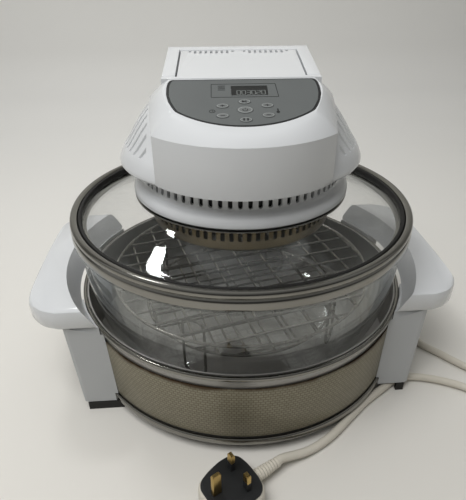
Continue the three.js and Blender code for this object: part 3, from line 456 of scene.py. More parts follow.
def new_material(name: str) -> tuple[Look, Nodes, bpy.types.Node]:
    """Makes a material with nodes.

    Args:
        name: Name of the material.

    Returns:
        The material, its nodes and its shader.
    """
    material = bpy.data.materials.new(name)
    material.use_nodes = True
    return material, Nodes(material.node_tree), material.node_tree.nodes["Principled BSDF"]


@dataclass(frozen=True)
class Finish:
    """A solid finish: a colour that drifts a little, with grain in its gloss and its relief."""

    name: str
    colour: tuple[int, int, int]
    drift: tuple[int, int, int]
    roughness: tuple[float, float]
    metallic: float = 0.0
    grain: float = 400.0
    relief: float = 0.03
    coat: float = 0.0
    patch: float = 18.0

    def material(self) -> Look:
        """Builds the node material."""
        material, nodes, shader = new_material(self.name)
        cloud = nodes.cloud(self.patch, 6)
        low, high = self.roughness
        nodes.fill(shader, {
            "Metallic": self.metallic, "Coat Weight": self.coat, "Coat Roughness": 0.08,
            "Base Color": nodes.mix(cloud, linear(self.colour), linear(self.drift)),
            "Roughness": nodes.add("MapRange", {"Value": cloud, "To Min": low, "To Max": high}, "Result"),
            "Normal": nodes.relief(nodes.cloud(self.grain, 3), self.relief),
        })
        return material


@dataclass(frozen=True)
class GlassFinish:
    """Clear thin glass: a mirror that lets nearly everything through, with faint smears.

    Its opacity is least + (1 - least) (1 - cos a)^5, where a is the angle of sight.
    """

    name: str
    tint: tuple[int, int, int]
    least: float = 0.05
    smear: float = 0.03

    def material(self) -> Look:
        """Builds the node material."""
        material, nodes, shader = new_material(self.name)
        sight = nodes.add("LayerWeight", {"Blend": 0.5}, "Facing")
        steep = nodes.add("Math", {0: sight, 1: 5.0}, "Value", operation="POWER")
        haze = nodes.add("MapRange", {
            "Value": nodes.cloud(22, 5), "From Min": 0.4, "From Max": 0.8,
            "To Min": self.least, "To Max": self.least + self.smear,
        }, "Result")
        nodes.fill(shader, {
            "Base Color": linear(self.tint), "Metallic": 1.0, "Roughness": 0.02,
            "Alpha": nodes.add("MapRange", {"Value": steep, "To Min": haze}, "Result"),
        })
        return material


@dataclass(frozen=True)
class BandFinish:
    """The beige wrap of the drum: fine rows of short dashes, browned towards its upper edge."""

    name: str = "woven_band"
    radius: float = 0.169
    dash: float = 0.0042
    row: float = 0.0028
    gap: float = 0.0004
    stain_low: float = 0.0825
    stain_high: float = 0.0865
    stain_spread: float = 0.012

    def material(self) -> Look:
        """Builds the node material."""
        material, nodes, shader = new_material(self.name)
        parts = nodes.tree.nodes.new("ShaderNodeSeparateXYZ")
        nodes.fill(parts, {"Vector": nodes.place()})
        x, y, z = parts.outputs
        turn = nodes.add("Math", {0: y, 1: x}, "Value", operation="ARCTAN2")
        round_drum = nodes.add("Math", {0: turn, 1: self.radius}, "Value", operation="MULTIPLY")
        bricks = nodes.tree.nodes.new("ShaderNodeTexBrick")
        nodes.fill(bricks, {
            "Vector": nodes.add("CombineXYZ", {"X": round_drum, "Y": z}, "Vector"),
            "Color1": linear((142, 137, 119)), "Color2": linear((132, 127, 109)),
            "Mortar": linear((110, 103, 85)), "Scale": 1.0,
            "Mortar Size": self.gap, "Brick Width": self.dash, "Row Height": self.row,
        })
        uneven = {0: nodes.cloud(30, 6), 1: self.stain_spread, 2: z}
        stain = nodes.add("Math", uneven, "Value", operation="MULTIPLY_ADD")
        edge = {"Value": stain, "From Min": self.stain_low, "From Max": self.stain_high}
        brown = nodes.add("MapRange", edge, "Result")
        nodes.fill(shader, {
            "Metallic": 0.35, "Roughness": 0.42,
            "Base Color": nodes.mix(brown, bricks.outputs["Color"], linear((66, 50, 30))),
            "Normal": nodes.relief(bricks.outputs["Fac"], 0.25),
        })
        return material


def make_looks() -> Looks:
    """Builds all the oven's finishes, once.

    Returns:
        Each material under its name.
    """
    finishes = [
        Finish("white_plastic", (214, 216, 217), (207, 209, 211), (0.2, 0.3), coat=0.6, relief=0.02),
        # Painted shade: a darker copy of the white plastic, for the legs that stand in the grips' shade.
        Finish("shaded_leg_plastic", (182, 184, 184), (174, 176, 177), (0.3, 0.4), relief=0.02),
        Finish("grey_panel", (96, 100, 99), (91, 94, 94), (0.45, 0.6), grain=1500, relief=0.05),
        Finish("grey_key", (110, 113, 112), (102, 105, 104), (0.4, 0.5), grain=900),
        Finish("charcoal", (38, 39, 40), (30, 31, 32), (0.4, 0.6), relief=0.04),
        Finish("black_rubber", (22, 22, 22), (34, 33, 31), (0.55, 0.8), relief=0.08),
        Finish("chrome", (150, 149, 144), (128, 126, 120), (0.08, 0.2), 1.0, relief=0.01),
        Finish("rack_chrome", (170, 169, 164), (120, 117, 110), (0.15, 0.35), 1.0),
        Finish("polished_steel", (176, 175, 172), (154, 152, 148), (0.3, 0.45), 0.7, relief=0.02),
        Finish("browned_steel", (112, 104, 84), (76, 64, 40), (0.25, 0.45), 0.9, relief=0.05, patch=40),
        BandFinish(),
        GlassFinish("bowl_glass", (240, 244, 243), 0.06, 0.04),
        GlassFinish("lid_glass", (244, 247, 246)),
        Finish("lamp_tube", (226, 220, 204), (210, 203, 186), (0.1, 0.25)),
        Finish("ceramic", (224, 219, 207), (206, 200, 186), (0.5, 0.7)),
        Finish("white_lead", (214, 209, 197), (200, 194, 180), (0.35, 0.5), relief=0.05),
        Finish("circuit_board", (40, 82, 54), (34, 70, 46), (0.4, 0.6)),
        Finish("pin_brass", (196, 170, 112), (170, 144, 90), (0.2, 0.35), 1.0),
        Finish("dark_print", (34, 35, 36), (28, 29, 30), (0.5, 0.6), relief=0.0),
        # Painted highlight: the light ring round each key's edge.
        Finish("key_rim_highlight", (150, 153, 152), (142, 145, 144), (0.5, 0.6), relief=0.0),
        Finish("display_glass", (26, 28, 28), (20, 22, 22), (0.3, 0.4), relief=0.0),
        Finish("display_digit", (112, 116, 114), (104, 108, 106), (0.3, 0.4), relief=0.0),
    ]
    return {finish.name: finish.material() for finish in finishes}


@dataclass
class Studio:
    """Camera, lamps, table and backdrop."""

    eye: tuple[float, float, float] = (-39.65, -453.22, 389.28)
    heading: float = -5.0 + 1.024
    pitch: float = 30.945
    roll: float = -0.492
    lens: float = 34.56
    sensor: float = 36.0
    table_half: float = 4.0

    def aim(self) -> None:
        """Places the camera where the photograph was taken from."""
        camera = bpy.data.objects.new("camera", bpy.data.cameras.new("camera"))
        bpy.context.scene.collection.objects.link(camera)
        camera.data.sensor_fit = "VERTICAL"
        camera.data.sensor_height = self.sensor
        camera.data.lens = self.lens
        camera.data.clip_end = 20
        turn, fall, lean = (math.radians(angle) for angle in (self.heading, self.pitch, self.roll))
        forward = Vector((-math.sin(turn), math.cos(turn), 0)) * math.cos(fall)
        forward.z = -math.sin(fall)
        right = forward.cross(Vector((0, 0, 1))).normalized()
        up = right.cross(forward)
        c, s = math.cos(lean), math.sin(lean)
        right, up = right * c + up * s, up * c - right * s
        turned = Matrix((right, up, -forward)).transposed().to_4x4()
        camera.matrix_world = Matrix.Translation(Vector(self.eye) * MM) @ turned
        bpy.context.scene.camera = camera

    def light(self) -> None:
        """Adds a soft key lamp at the front left, a ceiling lamp, a window that the glass mirrors, and the
        surround, which is brighter behind and above the oven than in front of it."""
        lamps = [
            ("key", (-0.42, -0.5, 1.38), (0.0, 0.0, 0.2), (0.8, 0.8), 13.0, False),
            ("ceiling", (0.0, 0.7, 1.5), (0.0, 0.2, 0.1), (1.5, 1.5), 5.0, False),
            ("window", (-0.43, 0.5, 1.133), (-0.076, -0.127, 0.179), (0.22, 0.095), 1.8, True),
        ]
        for name, place, target, size, power, seen_in_gloss in lamps:
            data = bpy.data.lights.new(name, "AREA")
            data.shape = "RECTANGLE"
            data.size, data.size_y = size
            data.energy = power
            lamp = bpy.data.objects.new(name, data)
            lamp.visible_glossy = seen_in_gloss
            lamp.location = place
            lamp.rotation_euler = (Vector(target) - Vector(place)).to_track_quat("-Z", "Y").to_euler()
            bpy.context.scene.collection.objects.link(lamp)
        world = bpy.data.worlds.new("surround")
        world.use_nodes = True
        nodes = Nodes(world.node_tree)
        way = nodes.add("TexCoord", {}, "Generated")
        towards = nodes.add("VectorMath", {0: way, 1: (-0.2, 0.75, 0.63)}, "Value", operation="DOT_PRODUCT")
        bright = {"Value": towards, "From Min": -0.5, "From Max": 0.9, "To Min": 0.1, "To Max": 0.78}
        nodes.fill(world.node_tree.nodes["Background"], {
            "Color": linear((214, 214, 212)), "Strength": nodes.add("MapRange", bright, "Result"),
        })
        bpy.context.scene.world = world
        bpy.context.scene.view_settings.view_transform = "Standard"

    def ground(self) -> None:
        """Adds the pale table that rises into a plain backdrop behind the oven."""
        depth = np.array([-3.0, 0.62, 0.8, 0.93, 1.0, 1.02, 1.02])
        rise = np.array([0.0, 0.0, 0.015, 0.07, 0.18, 0.35, 3.0])
        across = np.array([-self.table_half, self.table_half])[:, None]
        points = np.stack(np.broadcast_arrays(across, depth, rise), -1)
        floor = mesh_object("table", points.reshape(-1, 3) / MM, grid_faces(2, 7, False, False))
        floor.data.shade_smooth()
        material, nodes, shader = new_material("pale_table")
        behind = nodes.add("SeparateXYZ", {"Vector": nodes.place()}, "Y")
        far = nodes.add("MapRange", {"Value": behind, "From Min": -0.25, "From Max": 0.75}, "Result")
        colour = nodes.mix(far, linear((220, 217, 210)), linear((230, 229, 225)))
        nodes.fill(shader, {"Roughness": 0.55, "Base Color": colour})
        floor.data.materials.append(material)


@dataclass
class PowerLead:
    """The mains lead, its strain relief and its plug lying on its back."""

    diameter: float = 7.8
    outlet: tuple[float, float, float] = (6.338, 145.162, 236)
    drop: Sequence[tuple[float, float, float]] = (
        (6.9, 158, 236), (7.4, 169, 232.5), (8.5, 181, 223), (11, 196, 196), (15, 205, 160), (21, 211, 115),
        (30, 217, 70), (44, 223, 32), (64, 225, 11),
    )
    on_table: Outline = (
        (90, 220), (122, 202), (154, 172), (182, 132), (200, 90), (207, 45), (207, 0), (206, -39),
        (223.5, -62.5), (242.8, -84.9), (260, -98), (282, -104), (309, -111), (329, -132), (328, -160),
        (305, -179), (276, -174), (257, -150), (243, -129), (227, -113.5), (210, -104), (195.8, -98.5),
        (180.6, -94.8), (167, -94.8), (154, -98.8), (141.3, -107.2), (116.7, -124.1), (96.2, -141.3),
        (70.9, -162.6),
    )
    table_z: float = 4.4
    rising: tuple[float, float, float] = (47, -176.5, 5.2)
    plug_at: tuple[float, float] = (-38.5, -222.5)
    plug_turn: float = math.radians(31)
    plug_half: Outline = ((38.2, 8), (36, 18), (30, 23.5), (18, 24.6), (4, 21.8), (-7, 17.2), (-11, 11))
    plug_middle: float = 13.6
    plug_end: float = 38.2
    relief_length: float = 26.0
    lead_z: float = 11.0
    pin_foot: float = 24.7
    pin_spread: float = 11.1
    pin_depth: float = 22.2

    def plug_point(self, along: np.ndarray, across: np.ndarray, z: float) -> np.ndarray:
        """Turns places in the plug's own frame into the oven's frame.

        Args:
            along: Distance from the earth pin towards the lead.
            across: Distance to the left of that line.
            z: Height above the table.

        Returns:
            The points.
        """
        c, s = math.cos(self.plug_turn), math.sin(self.plug_turn)
        along, across = np.asarray(along, float), np.asarray(across, float)
        x = self.plug_at[0] + along * c - across * s
        y = self.plug_at[1] + along * s + across * c
        return np.stack([x, y, np.broadcast_to(float(z), np.shape(x))], -1)

    def route(self) -> list[tuple[float, float, float]]:
        """Lists the points that the lead passes through, from the head to the plug."""
        leaving = self.plug_end + self.relief_length + 0.3
        flat = [(x, y, self.table_z) for x, y in self.on_table]
        near = [tuple(self.plug_point(leaving + d, 0, self.lead_z)) for d in (6, 0)]
        return [self.outlet, *self.drop, *flat, self.rising, *near]

    def plug_slab(self, name: str, levels: Outline) -> Piece:
        """Builds a part of the plug's body.

        Args:
            name: Name of the piece.
            levels: How far each ring is drawn in, and its height.

        Returns:
            The closed piece.
        """
        whole = [*self.plug_half, *[(x, -y) for x, y in reversed(self.plug_half)]]
        middle = np.array([self.plug_middle, 0.0])
        offset = np.array(rounded(whole, 4.0)) - middle
        rings = []
        for inset, z in levels:
            ring = middle + offset * (1 - inset / np.linalg.norm(offset, axis=1)[:, None])
            rings.append(self.plug_point(ring[:, 0], ring[:, 1], z))
        return loft(name, rings, 40)

    def prong(self, name: str, along: float, across: float, rows: list) -> Piece:
        """Builds an upright piece of a pin.

        Args:
            name: Name of the piece.
            along: Its place along the plug.
            across: Its place across the plug.
            rows: Rings round its middle, each with its height.

        Returns:
            The closed piece.
        """
        return loft(name, [self.plug_point(along + r[:, 0], across + r[:, 1], z) for r, z in rows], 40)

    def make_pins(self, looks: Looks) -> list[Piece]:
        """Builds the earth pin and the two live pins, which have sleeves."""
        pieces = []
        for name, along, across, length, width, height, sleeve in (
            ("earth", 0, 0, 8, 4, 22.7, 0.0),
            ("line", self.pin_depth, -self.pin_spread, 4, 6.3, 17.7, 9.0),
            ("neutral", self.pin_depth, self.pin_spread, 4, 6.3, 17.7, 9.0),
        ):
            corners = np.array(rounded(rectangle(-length / 2, -width / 2, length / 2, width / 2), 0.8))
            top = self.pin_foot + height
            rows = [(corners, self.pin_foot), (corners, top - 1.4), (corners * 0.72, top)]
            pin = self.prong("pin_" + name, along, across, rows)
            pieces.append(settle_on(pin, Body.BASE, "brass", looks["pin_brass"], "plug_pin_" + name))
            if sleeve:
                rows = [(corners * 1.03, self.pin_foot), (corners * 1.03, self.pin_foot + sleeve)]
                cover = self.prong("sleeve_" + name, along, across, rows)
                pieces.append(settle_on(cover, Body.BASE, "black_rubber", looks["charcoal"]))
        return pieces

    def make_relief(self, looks: Looks) -> Piece:
        """Builds the ribbed strain relief, which narrows away from the plug."""
        reach = np.linspace(0, 1, 73)
        ribs = 0.5 + 0.5 * np.cos(reach * 9 * 2 * math.pi)
        radius = (6.4 - 1.8 * reach) * (1 - 0.16 * ribs * (reach < 0.97))
        along = self.plug_end + 0.3 + reach * (self.relief_length - 0.3)
        relief = tube("plug_strain_relief", self.plug_point(along, np.zeros(73), self.lead_z), radius, 20)
        return settle_on(relief, Body.BASE, "cord_white", looks["white_lead"], "plug_relief")

    def make(self, looks: Looks) -> None:
        """Builds the lead and its plug."""
        levels = [(3.2, 0.2), (1.2, 1.2), (0.2, 3.2), (0, 6), (0, 18), (0.3, 20.5), (1.3, 22), (2.6, 22.5)]
        shell = self.plug_slab("plug_shell", levels)
        settle_on(shell, Body.BASE, "cord_white", looks["white_lead"], "plug_body")
        face = self.plug_slab("plug_front", [(2.0, 22.8), (2.0, 23.9), (2.6, 24.4)])
        settle_on(face, Body.BASE, "black_rubber", looks["charcoal"], "plug_face")
        plug = [shell, face, *self.make_pins(looks), self.make_relief(looks)]
        line = smooth_path(self.route(), 700)
        lead = tube("mains_lead", line, self.diameter / 2, 14)
        dress(lead, looks["white_lead"])
        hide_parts("power_cord")
        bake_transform(lead)


@dataclass
class Stand:
    """Steel drum with its rings and band, four legs with feet, and two grips."""

    radius: float = 167.0
    wall: float = 1.4
    floor_z: float = 20.3
    top_z: float = 95.0
    ring_reach: float = 4.4
    grip_edge: Outline = (
        (178, -100), (192, -94.5), (203, -84), (208.5, -71), (211, -36), (211.8, 0), (211, 36), (208.5, 71),
        (203, 84), (192, 94.5), (178, 100),
    )
    grip_half: float = 100.0

    def make_drum(self, looks: Looks) -> None:
        """Builds the drum, its two rolled rings and the band."""
        inner, top, root = self.radius - self.wall, self.floor_z + self.wall, self.radius + 0.3
        profile = [
            (0, self.floor_z), (inner, self.floor_z), (inner, 13), (self.radius, 13),
            (self.radius, self.top_z), (inner, self.top_z), (inner, top + 3), (inner - 1, top + 0.8),
            (inner - 3, top), (0, top),
        ]
        drum = revolve("drum", profile, closed=False)
        settle_on(drum, Body.BASE, "steel", looks["polished_steel"], "drum_shell")
        for name, low, height in (("bottom", 11.0, 7.0), ("top", 90.8, 4.2)):
            outline = rectangle(root, low, self.radius + self.ring_reach, low + height)
            ring = revolve(name + "_bead", rounded(outline, height * 0.42, 6))
            settle_on(ring, Body.BASE, "chrome", looks["chrome"], f"drum_{name}_ring")
        band = revolve("band", rounded(rectangle(root, 20.5, self.radius + 1.9, 80), 0.4, 2))
        settle_on(band, Body.BASE, "band", looks["woven_band"], "drum_band")

    def make_legs(self, looks: Looks) -> None:
        """Copies each leg from its node with smooth shading, dresses it in a darker copy of the white
        plastic that paints the shade under the grips, and dresses the feet.
        """
        for where in ("front_left", "front_right", "back_left", "back_right"):
            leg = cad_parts["leg_" + where].copy()
            leg.data = leg.data.copy()
            leg.parent = None
            leg.hide_render = leg.hide_viewport = False
            for key in list(leg.keys()):
                del leg[key]
            leg.name = where + "_leg"
            bpy.context.scene.collection.objects.link(leg)
            tidy_surface(leg, 20)
            # The legs wear the darker copy of the white plastic, which paints the shade under the grips.
            settle_on(leg, Body.BASE, "white_plastic", looks["shaded_leg_plastic"], "leg_" + where)
            dress(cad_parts["foot_" + where], looks["black_rubber"])

    def make_grips(self, looks: Looks) -> None:
        """Builds both grips as rounded shelves that hug the drum."""
        levels = [
            (98, 3.5, 173.4), (98.8, 1.4, 173.9), (101.5, 0, 175.2), (114, 0, 181.4), (117.6, 1.2, 183.3),
            (119, 3.8, 184),
        ]
        for side, name in ((1, "right"), (-1, "left")):
            rings = []
            for z, inset, inner in levels:
                middle = np.array([inner, 0])
                offset = smooth_path(self.grip_edge, 70) - middle
                curve = middle + offset * (1 - inset / np.linalg.norm(offset, axis=1)[:, None])
                half = math.asin((self.grip_half - inset) / inner)
                angle = np.linspace(half, -half, 40)
                plan = np.vstack([curve, np.column_stack([inner * np.cos(angle), inner * np.sin(angle)])])
                rings.append(np.column_stack([plan[:, 0] * side, plan[:, 1], np.full(len(plan), z)]))
            grip = loft(name + "_grip", rings, 40)
            settle_on(grip, Body.BASE, "white_plastic", looks["white_plastic"], "grip_" + name)

    def make(self, looks: Looks) -> None:
        """Builds the whole stand."""
        self.make_drum(looks)
        self.make_legs(looks)
        self.make_grips(looks)


@dataclass
class GlassWare:
    """The clear bowl, and the lid with its glass, seal and chrome rim."""

    bowl_line: Outline = (
        (100, 22), (114, 22), (128, 27.5), (146, 50), (156, 82), (162.6, 115), (166, 160), (166, 163),
    )
    wall: float = 4.4
    rim_z: float = 167.4
    rim_line: Outline = (
        (156, 168.1), (167.2, 167.9), (167.2, 164.6), (168.6, 163.8), (170.2, 164.4), (170.9, 166.6),
        (170.9, 171.4), (170.2, 173.4), (169.1, 174.2), (169.1, 174.9), (170.2, 175.7), (170.9, 177.6),
        (170.3, 180.1), (168.6, 181.4), (165.3, 181.4), (163.4, 179.6), (163.4, 172.3), (156, 172.3),
    )
    lid_line: Outline = ((86, 201.5), (106, 194.8), (130, 185.2), (150, 178.6), (159.5, 176.6))
    lid_thickness: float = 4.0
    steps: int = 220

    def make_bowl(self, looks: Looks) -> None:
        """Builds the bowl from its outer line and its wall."""
        outer = smooth_path(self.bowl_line, 70)
        step = np.gradient(outer, axis=0)
        step /= np.linalg.norm(step, axis=1)[:, None]
        inner = outer + np.column_stack([-step[:, 1], step[:, 0]]) * self.wall
        rim = rounded([(166, 163), (166, self.rim_z), (161.6, self.rim_z), (161.6, 163)], 1.6, 5)
        above = [p for p in rim if p[1] > 163.2]
        profile = [(0, 22.8), (96, 22.8), (98, 22), *outer, *above, *inner[::-1], (0, 22 + self.wall)]
        bowl = revolve("bowl", profile, self.steps, closed=False)
        settle_on(bowl, Body.BASE, "clear_glass", looks["bowl_glass"], "glass_bowl")

    def make_lid(self, looks: Looks) -> None:
        """Builds the rim, the seal and the domed glass."""
        rim = revolve("rim", rounded(self.rim_line, 1.0, 4), self.steps)
        settle_on(rim, Body.LID, "chrome", looks["chrome"], "lid_rim")
        seal = revolve("seal", rounded(rectangle(159.8, 172.6, 163, 180.2), 1.0, 4), self.steps)
        settle_on(seal, Body.LID, "black_rubber", looks["black_rubber"], "rim_seal")
        top = smooth_path(self.lid_line, 40)
        under = top - np.array([0, self.lid_thickness])
        glass = revolve("domed_glass", rounded([*under, *top[::-1]], 0.6, 2), self.steps)
        settle_on(glass, Body.LID, "clear_glass", looks["lid_glass"], "lid_glass")

    def make(self, looks: Looks) -> None:
        """Builds the bowl and the lid."""
        self.make_bowl(looks)
        self.make_lid(looks)


@dataclass
class WireRacks:
    """Two round wire grilles, the low one on four closed wire loops and the high one on the loops' tops."""

    low_radius: float = 105.99
    low_z: float = 60.0
    high_radius: float = 138.0
    high_z: float = 100.34
    wire: float = 1.5
    thin_wire: float = 1.2
    turn: float = math.radians(14.5)
    long_pitch: float = 22.0
    cross_pitch: float = 27.0
    loop_radius: float = 107.8
    loop_half_width: float = 12.0
    loop_rounding: float = 9.6
    loop_bottom_z: float = 28.2
    loop_top_z: float = 96.5
    loop_first_angle: float = math.radians(-120)

    def turned(self, points: np.ndarray, angle: float) -> np.ndarray:
        """Turns points round the upright axis: x' = x cos a - y sin a, y' = x sin a + y cos a."""
        x, y, z = points.T
        c, s = math.cos(angle), math.sin(angle)
        return np.column_stack([x * c - y * s, x * s + y * c, z])

    def wires(self, radius: float, z: float, pitch: float, first: float, angle: float) -> list:
        """Builds parallel straight wires that end on a ring.

        Args:
            radius: Radius of the ring.
            z: Height of the wires' middle.
            pitch: Distance between neighbouring wires.
            first: Share of a pitch by which the row misses the middle.
            angle: Direction of the wires.

        Returns:
            The wires.
        """
        count = math.ceil(radius / pitch)
        offsets = (np.arange(-count, count + 1) + first) * pitch
        made = []
        for offset in offsets[np.abs(offsets) < radius - self.wire]:
            reach = math.sqrt(radius**2 - offset**2)
            line = np.array([(x, offset, z) for x in (-reach, 0.0, reach)])
            made.append(tube("wire", self.turned(line, angle), self.thin_wire, 8))
        return made

    def grille(self, radius: float, z: float) -> list[Piece]:
        """Builds a ring with long wires over it and crossing wires under them.

        Args:
            radius: Radius of the ring.
            z: Height of the ring.

        Returns:
            The ring and the wires.
        """
        angle = np.linspace(0, 2 * math.pi, 144, endpoint=False)
        circle = np.column_stack([radius * np.cos(angle), radius * np.sin(angle), np.full(144, z)])
        lift = self.thin_wire * 0.7
        return [
            tube("ring", circle, self.wire, 10, closed=True),
            *self.wires(radius, z + lift, self.long_pitch, 0.5, self.turn),
            *self.wires(radius, z - lift, self.cross_pitch, 0.0, self.turn + math.pi / 2),
        ]

    def loop(self, angle: float) -> Piece:
        """Builds one closed upright loop with rounded corners, which stands in the given direction."""
        half = self.loop_half_width
        corners = rectangle(-half, self.loop_bottom_z, half, self.loop_top_z)
        outline = np.array(rounded(corners, self.loop_rounding, 8))
        line = np.column_stack([np.full(len(outline), self.loop_radius), outline])
        return tube("loop", self.turned(line, angle), self.wire, 10, closed=True)

    def make(self, looks: Looks) -> None:
        """Builds both racks."""
        loops = [self.loop(self.loop_first_angle + k * math.pi / 2) for k in range(4)]
        low = joined("lower_rack", [*self.grille(self.low_radius, self.low_z), *loops])
        nodes = ["low_rack", *["rack_loop_" + letter for letter in "abcd"]]
        settle_on(low, Body.RACK_LOW, "chrome", looks["rack_chrome"], *nodes)
        high = joined("upper_rack", self.grille(self.high_radius, self.high_z))
        settle_on(high, Body.RACK_HIGH, "chrome", looks["rack_chrome"], "high_rack")


@dataclass
class HeaterHead:
    """The flared white base with its slots, and the slotted guard, clamp and gasket below it."""

    slot_count: int = 72
    wall_radius: float = 97.0
    wall_inner: float = 94.6
    guard_radius: float = 90.0
    guard_inner: float = 88.8
    floor_openings: int = 16
    flare: Outline = (
        (105.8, 201.0), (105.5, 203.2), (104.4, 205.6), (102.6, 207.4), (100.2, 208.8), (98.2, 210.3),
        (97.2, 212.2),
    )

    def slotted_wall(
        self, name: str, radii: tuple[float, float], heights: tuple[float, float],
        slot: tuple[float, float], share: float, squareness: float = 1.0,
    ) -> Piece:
        """Builds a round wall pierced by evenly spaced slots with rounded ends.

        Args:
            name: Name of the piece.
            radii: Outer and inner radius.
            heights: Bottom and top of the wall.
            slot: Bottom and top of the slots.
            share: Share of each pitch that is open.
            squareness: Power p of the ends, 1 for round ones and less for squarer ones.

        Returns:
            The wall: its outside is a sheet over angle and height with a hole for each slot. An end of a
            hole runs along half a width times (cos t, sin t), both to the power p, and every edge is
            carried through to the inside.
        """
        pitch = 2 * math.pi / self.slot_count
        half = pitch * share / 2
        drop = half * radii[0]
        bend = np.radians([0, 30, 60, 90, 120, 150, 180])
        across = half * np.sign(np.cos(bend)) * np.abs(np.cos(bend)) ** squareness
        rise = drop * np.abs(np.sin(bend)) ** squareness
        edge = np.linspace(pitch / 2, -pitch / 2, 7)
        low, high = np.full(7, heights[0]), np.full(7, heights[1])
        upper, lower = slot[1] - drop + rise, slot[0] + drop - rise
        lines = [(across, upper), (-across, lower), (edge, high), (-edge, low)]
        cell = np.vstack([np.column_stack(line) for line in lines])
        turns = (np.arange(self.slot_count) + 0.5)[:, None] * pitch
        angle = (turns + cell[None, :, 0]).ravel()
        height = np.tile(cell[:, 1], self.slot_count)
        sheets = [np.column_stack([r * np.cos(angle), r * np.sin(angle), height]) for r in radii]
        count, size, inside = len(cell) // 2, len(cell), len(angle)
        faces = []
        for start in range(0, inside, size):
            for k in range(count):
                near, far = start + k, start + (k + 1) % count
                faces.append([near, far, far + count, near + count])
                faces.append([near + inside, near + count + inside, far + count + inside, far + inside])
                faces.append([near, near + inside, far + inside, far])
                if k % 7 < 6:
                    faces.append([near + count, far + count, far + count + inside, near + count + inside])
        return tidy_surface(mesh_object(name, np.vstack(sheets), faces), 25)

    def make_base(self, looks: Looks) -> None:
        """Builds the flare, the slotted wall and a charcoal sheet behind its slots, which paints the shade
        inside them.
        """
        profile = [
            (9, 205.3), (85.7, 205.3), (104.4, 198.9), (105.3, 199.0), (105.8, 199.8),
            *smooth_path(self.flare, 36), (self.wall_radius, 212.9), (self.wall_inner, 212.9),
            (self.wall_inner, 210.3), (89.6, 207.8), (9, 207.8),
        ]
        base = revolve("flared_base", profile, 216)
        settle_on(base, Body.LID, "white_plastic", looks["white_plastic"], "head_base")
        radii = (self.wall_radius, self.wall_inner)
        wall = self.slotted_wall("slotted_wall", radii, (212.9, 233.4), (213.6, 226.5), 0.45)
        settle_on(wall, Body.LID, "white_plastic", looks["white_plastic"])
        # Painted shade: a charcoal sheet just inside the wall darkens the slots, where the real head only
        # has shade.
        shade_sheet = revolve("wall_painted_shade", [(92.4, 208.4), (93.2, 208.9), (93.2, 233), (92.4, 233)], 120)
        settle_on(shade_sheet, Body.LID, "charcoal", looks["charcoal"])

    def guard_floor(self) -> Piece:
        """Builds the guard's floor with its radial openings."""
        profile = [
            (0, 168), (87.6, 168), (89.3, 169), (self.guard_radius, 170.6), (self.guard_radius, 171.5),
            (self.guard_inner, 171.5), (88.4, 170.3), (87.2, 169.2), (0, 169.2),
        ]
        floor = revolve("guard_floor", profile, 216, closed=False)
        openings = []
        for k in range(self.floor_openings):
            opening = block("opening", (27, -2.2, 166), (77.4, 2.2, 171))
            opening.data.transform(Matrix.Rotation(k * 2 * math.pi / self.floor_openings, 4, "Z"))
            openings.append(opening)
        return combined(floor, [joined("openings", openings)], "DIFFERENCE")

    def under_base(self, name: str, outer: float, low: float, high: float) -> Piece:
        """Builds a flat ring that lies on the sloping lid glass.

        Args:
            name: Name of the piece.
            outer: Outer radius.
            low: Height of its underside above the glass.
            high: Height of its top above the glass.

        Returns:
            The ring.
        """
        near, far = (float(np.interp(r, [86, 106, 130], [201.5, 194.8, 185.2])) for r in (90, outer))
        profile = [(90, near + low), (outer, far + low), (outer, far + high), (90, near + high)]
        return revolve(name, rounded(profile, 0.5, 3))

    def make_guard(self, looks: Looks) -> None:
        """Builds the slotted guard under the glass and what clamps it, and dresses what it hides."""
        radii = (self.guard_radius, self.guard_inner)
        wall = self.slotted_wall("guard_wall", radii, (171.5, 194.2), (178.4, 189.5), 0.5, 0.4)
        neck = revolve("guard_neck", [
            (self.guard_inner, 194.2), (self.guard_radius, 194.2), (self.guard_radius, 194.9),
            (89.5, 195.4), (83.2, 195.4), (83.2, 204.9), (82, 204.9), (82, 194.2),
        ], 216)
        guard = joined("lamp_guard", [wall, self.guard_floor(), neck])
        settle_on(guard, Body.LID, "steel", looks["browned_steel"], "heater_guard")
        clamp = self.under_base("clamp", 105.5, 0.3, 1.5)
        settle_on(clamp, Body.LID, "chrome", looks["chrome"], "clamp_ring")
        gasket = self.under_base("gasket", 104.5, 1.8, 3.5)
        settle_on(gasket, Body.LID, "black_rubber", looks["black_rubber"], "head_gasket")
        for node, look in (
            ("reflector", "polished_steel"), ("halogen_lamp", "lamp_tube"), ("lamp_holder_a", "ceramic"),
            ("lamp_holder_b", "ceramic"), ("hot_air_fan", "polished_steel"), ("fan_motor", "polished_steel"),
            ("cooling_fan", "charcoal"),
        ):
            dress(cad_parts[node], looks[look])

    def make(self, looks: Looks) -> None:
        """Builds the head's base and guard."""
        self.make_base(looks)
        self.make_guard(looks)


@dataclass
class PanelPlane:
    """The sloping plane of the control panel: u to the right, v up the slope."""

    slope: float = math.atan2(20, 62)
    y: float = -61.0
    z: float = 292.0
    shift: float = 0.7

    def lay(self, points: Outline, height: float) -> np.ndarray:
        """Lays flat points on the panel, at a height above it."""
        u, v = np.asarray(points, float).T
        c, s = math.cos(self.slope), math.sin(self.slope)
        return np.column_stack([u + self.shift, self.y + v * c - height * s, self.z + v * s + height * c])

    def slab(self, name: str, outline: Outline, low: float, high: float) -> Piece:
        """Makes a flat piece on the panel, between two heights above it."""
        return loft(name, [self.lay(outline, low), self.lay(outline, high)], 30)


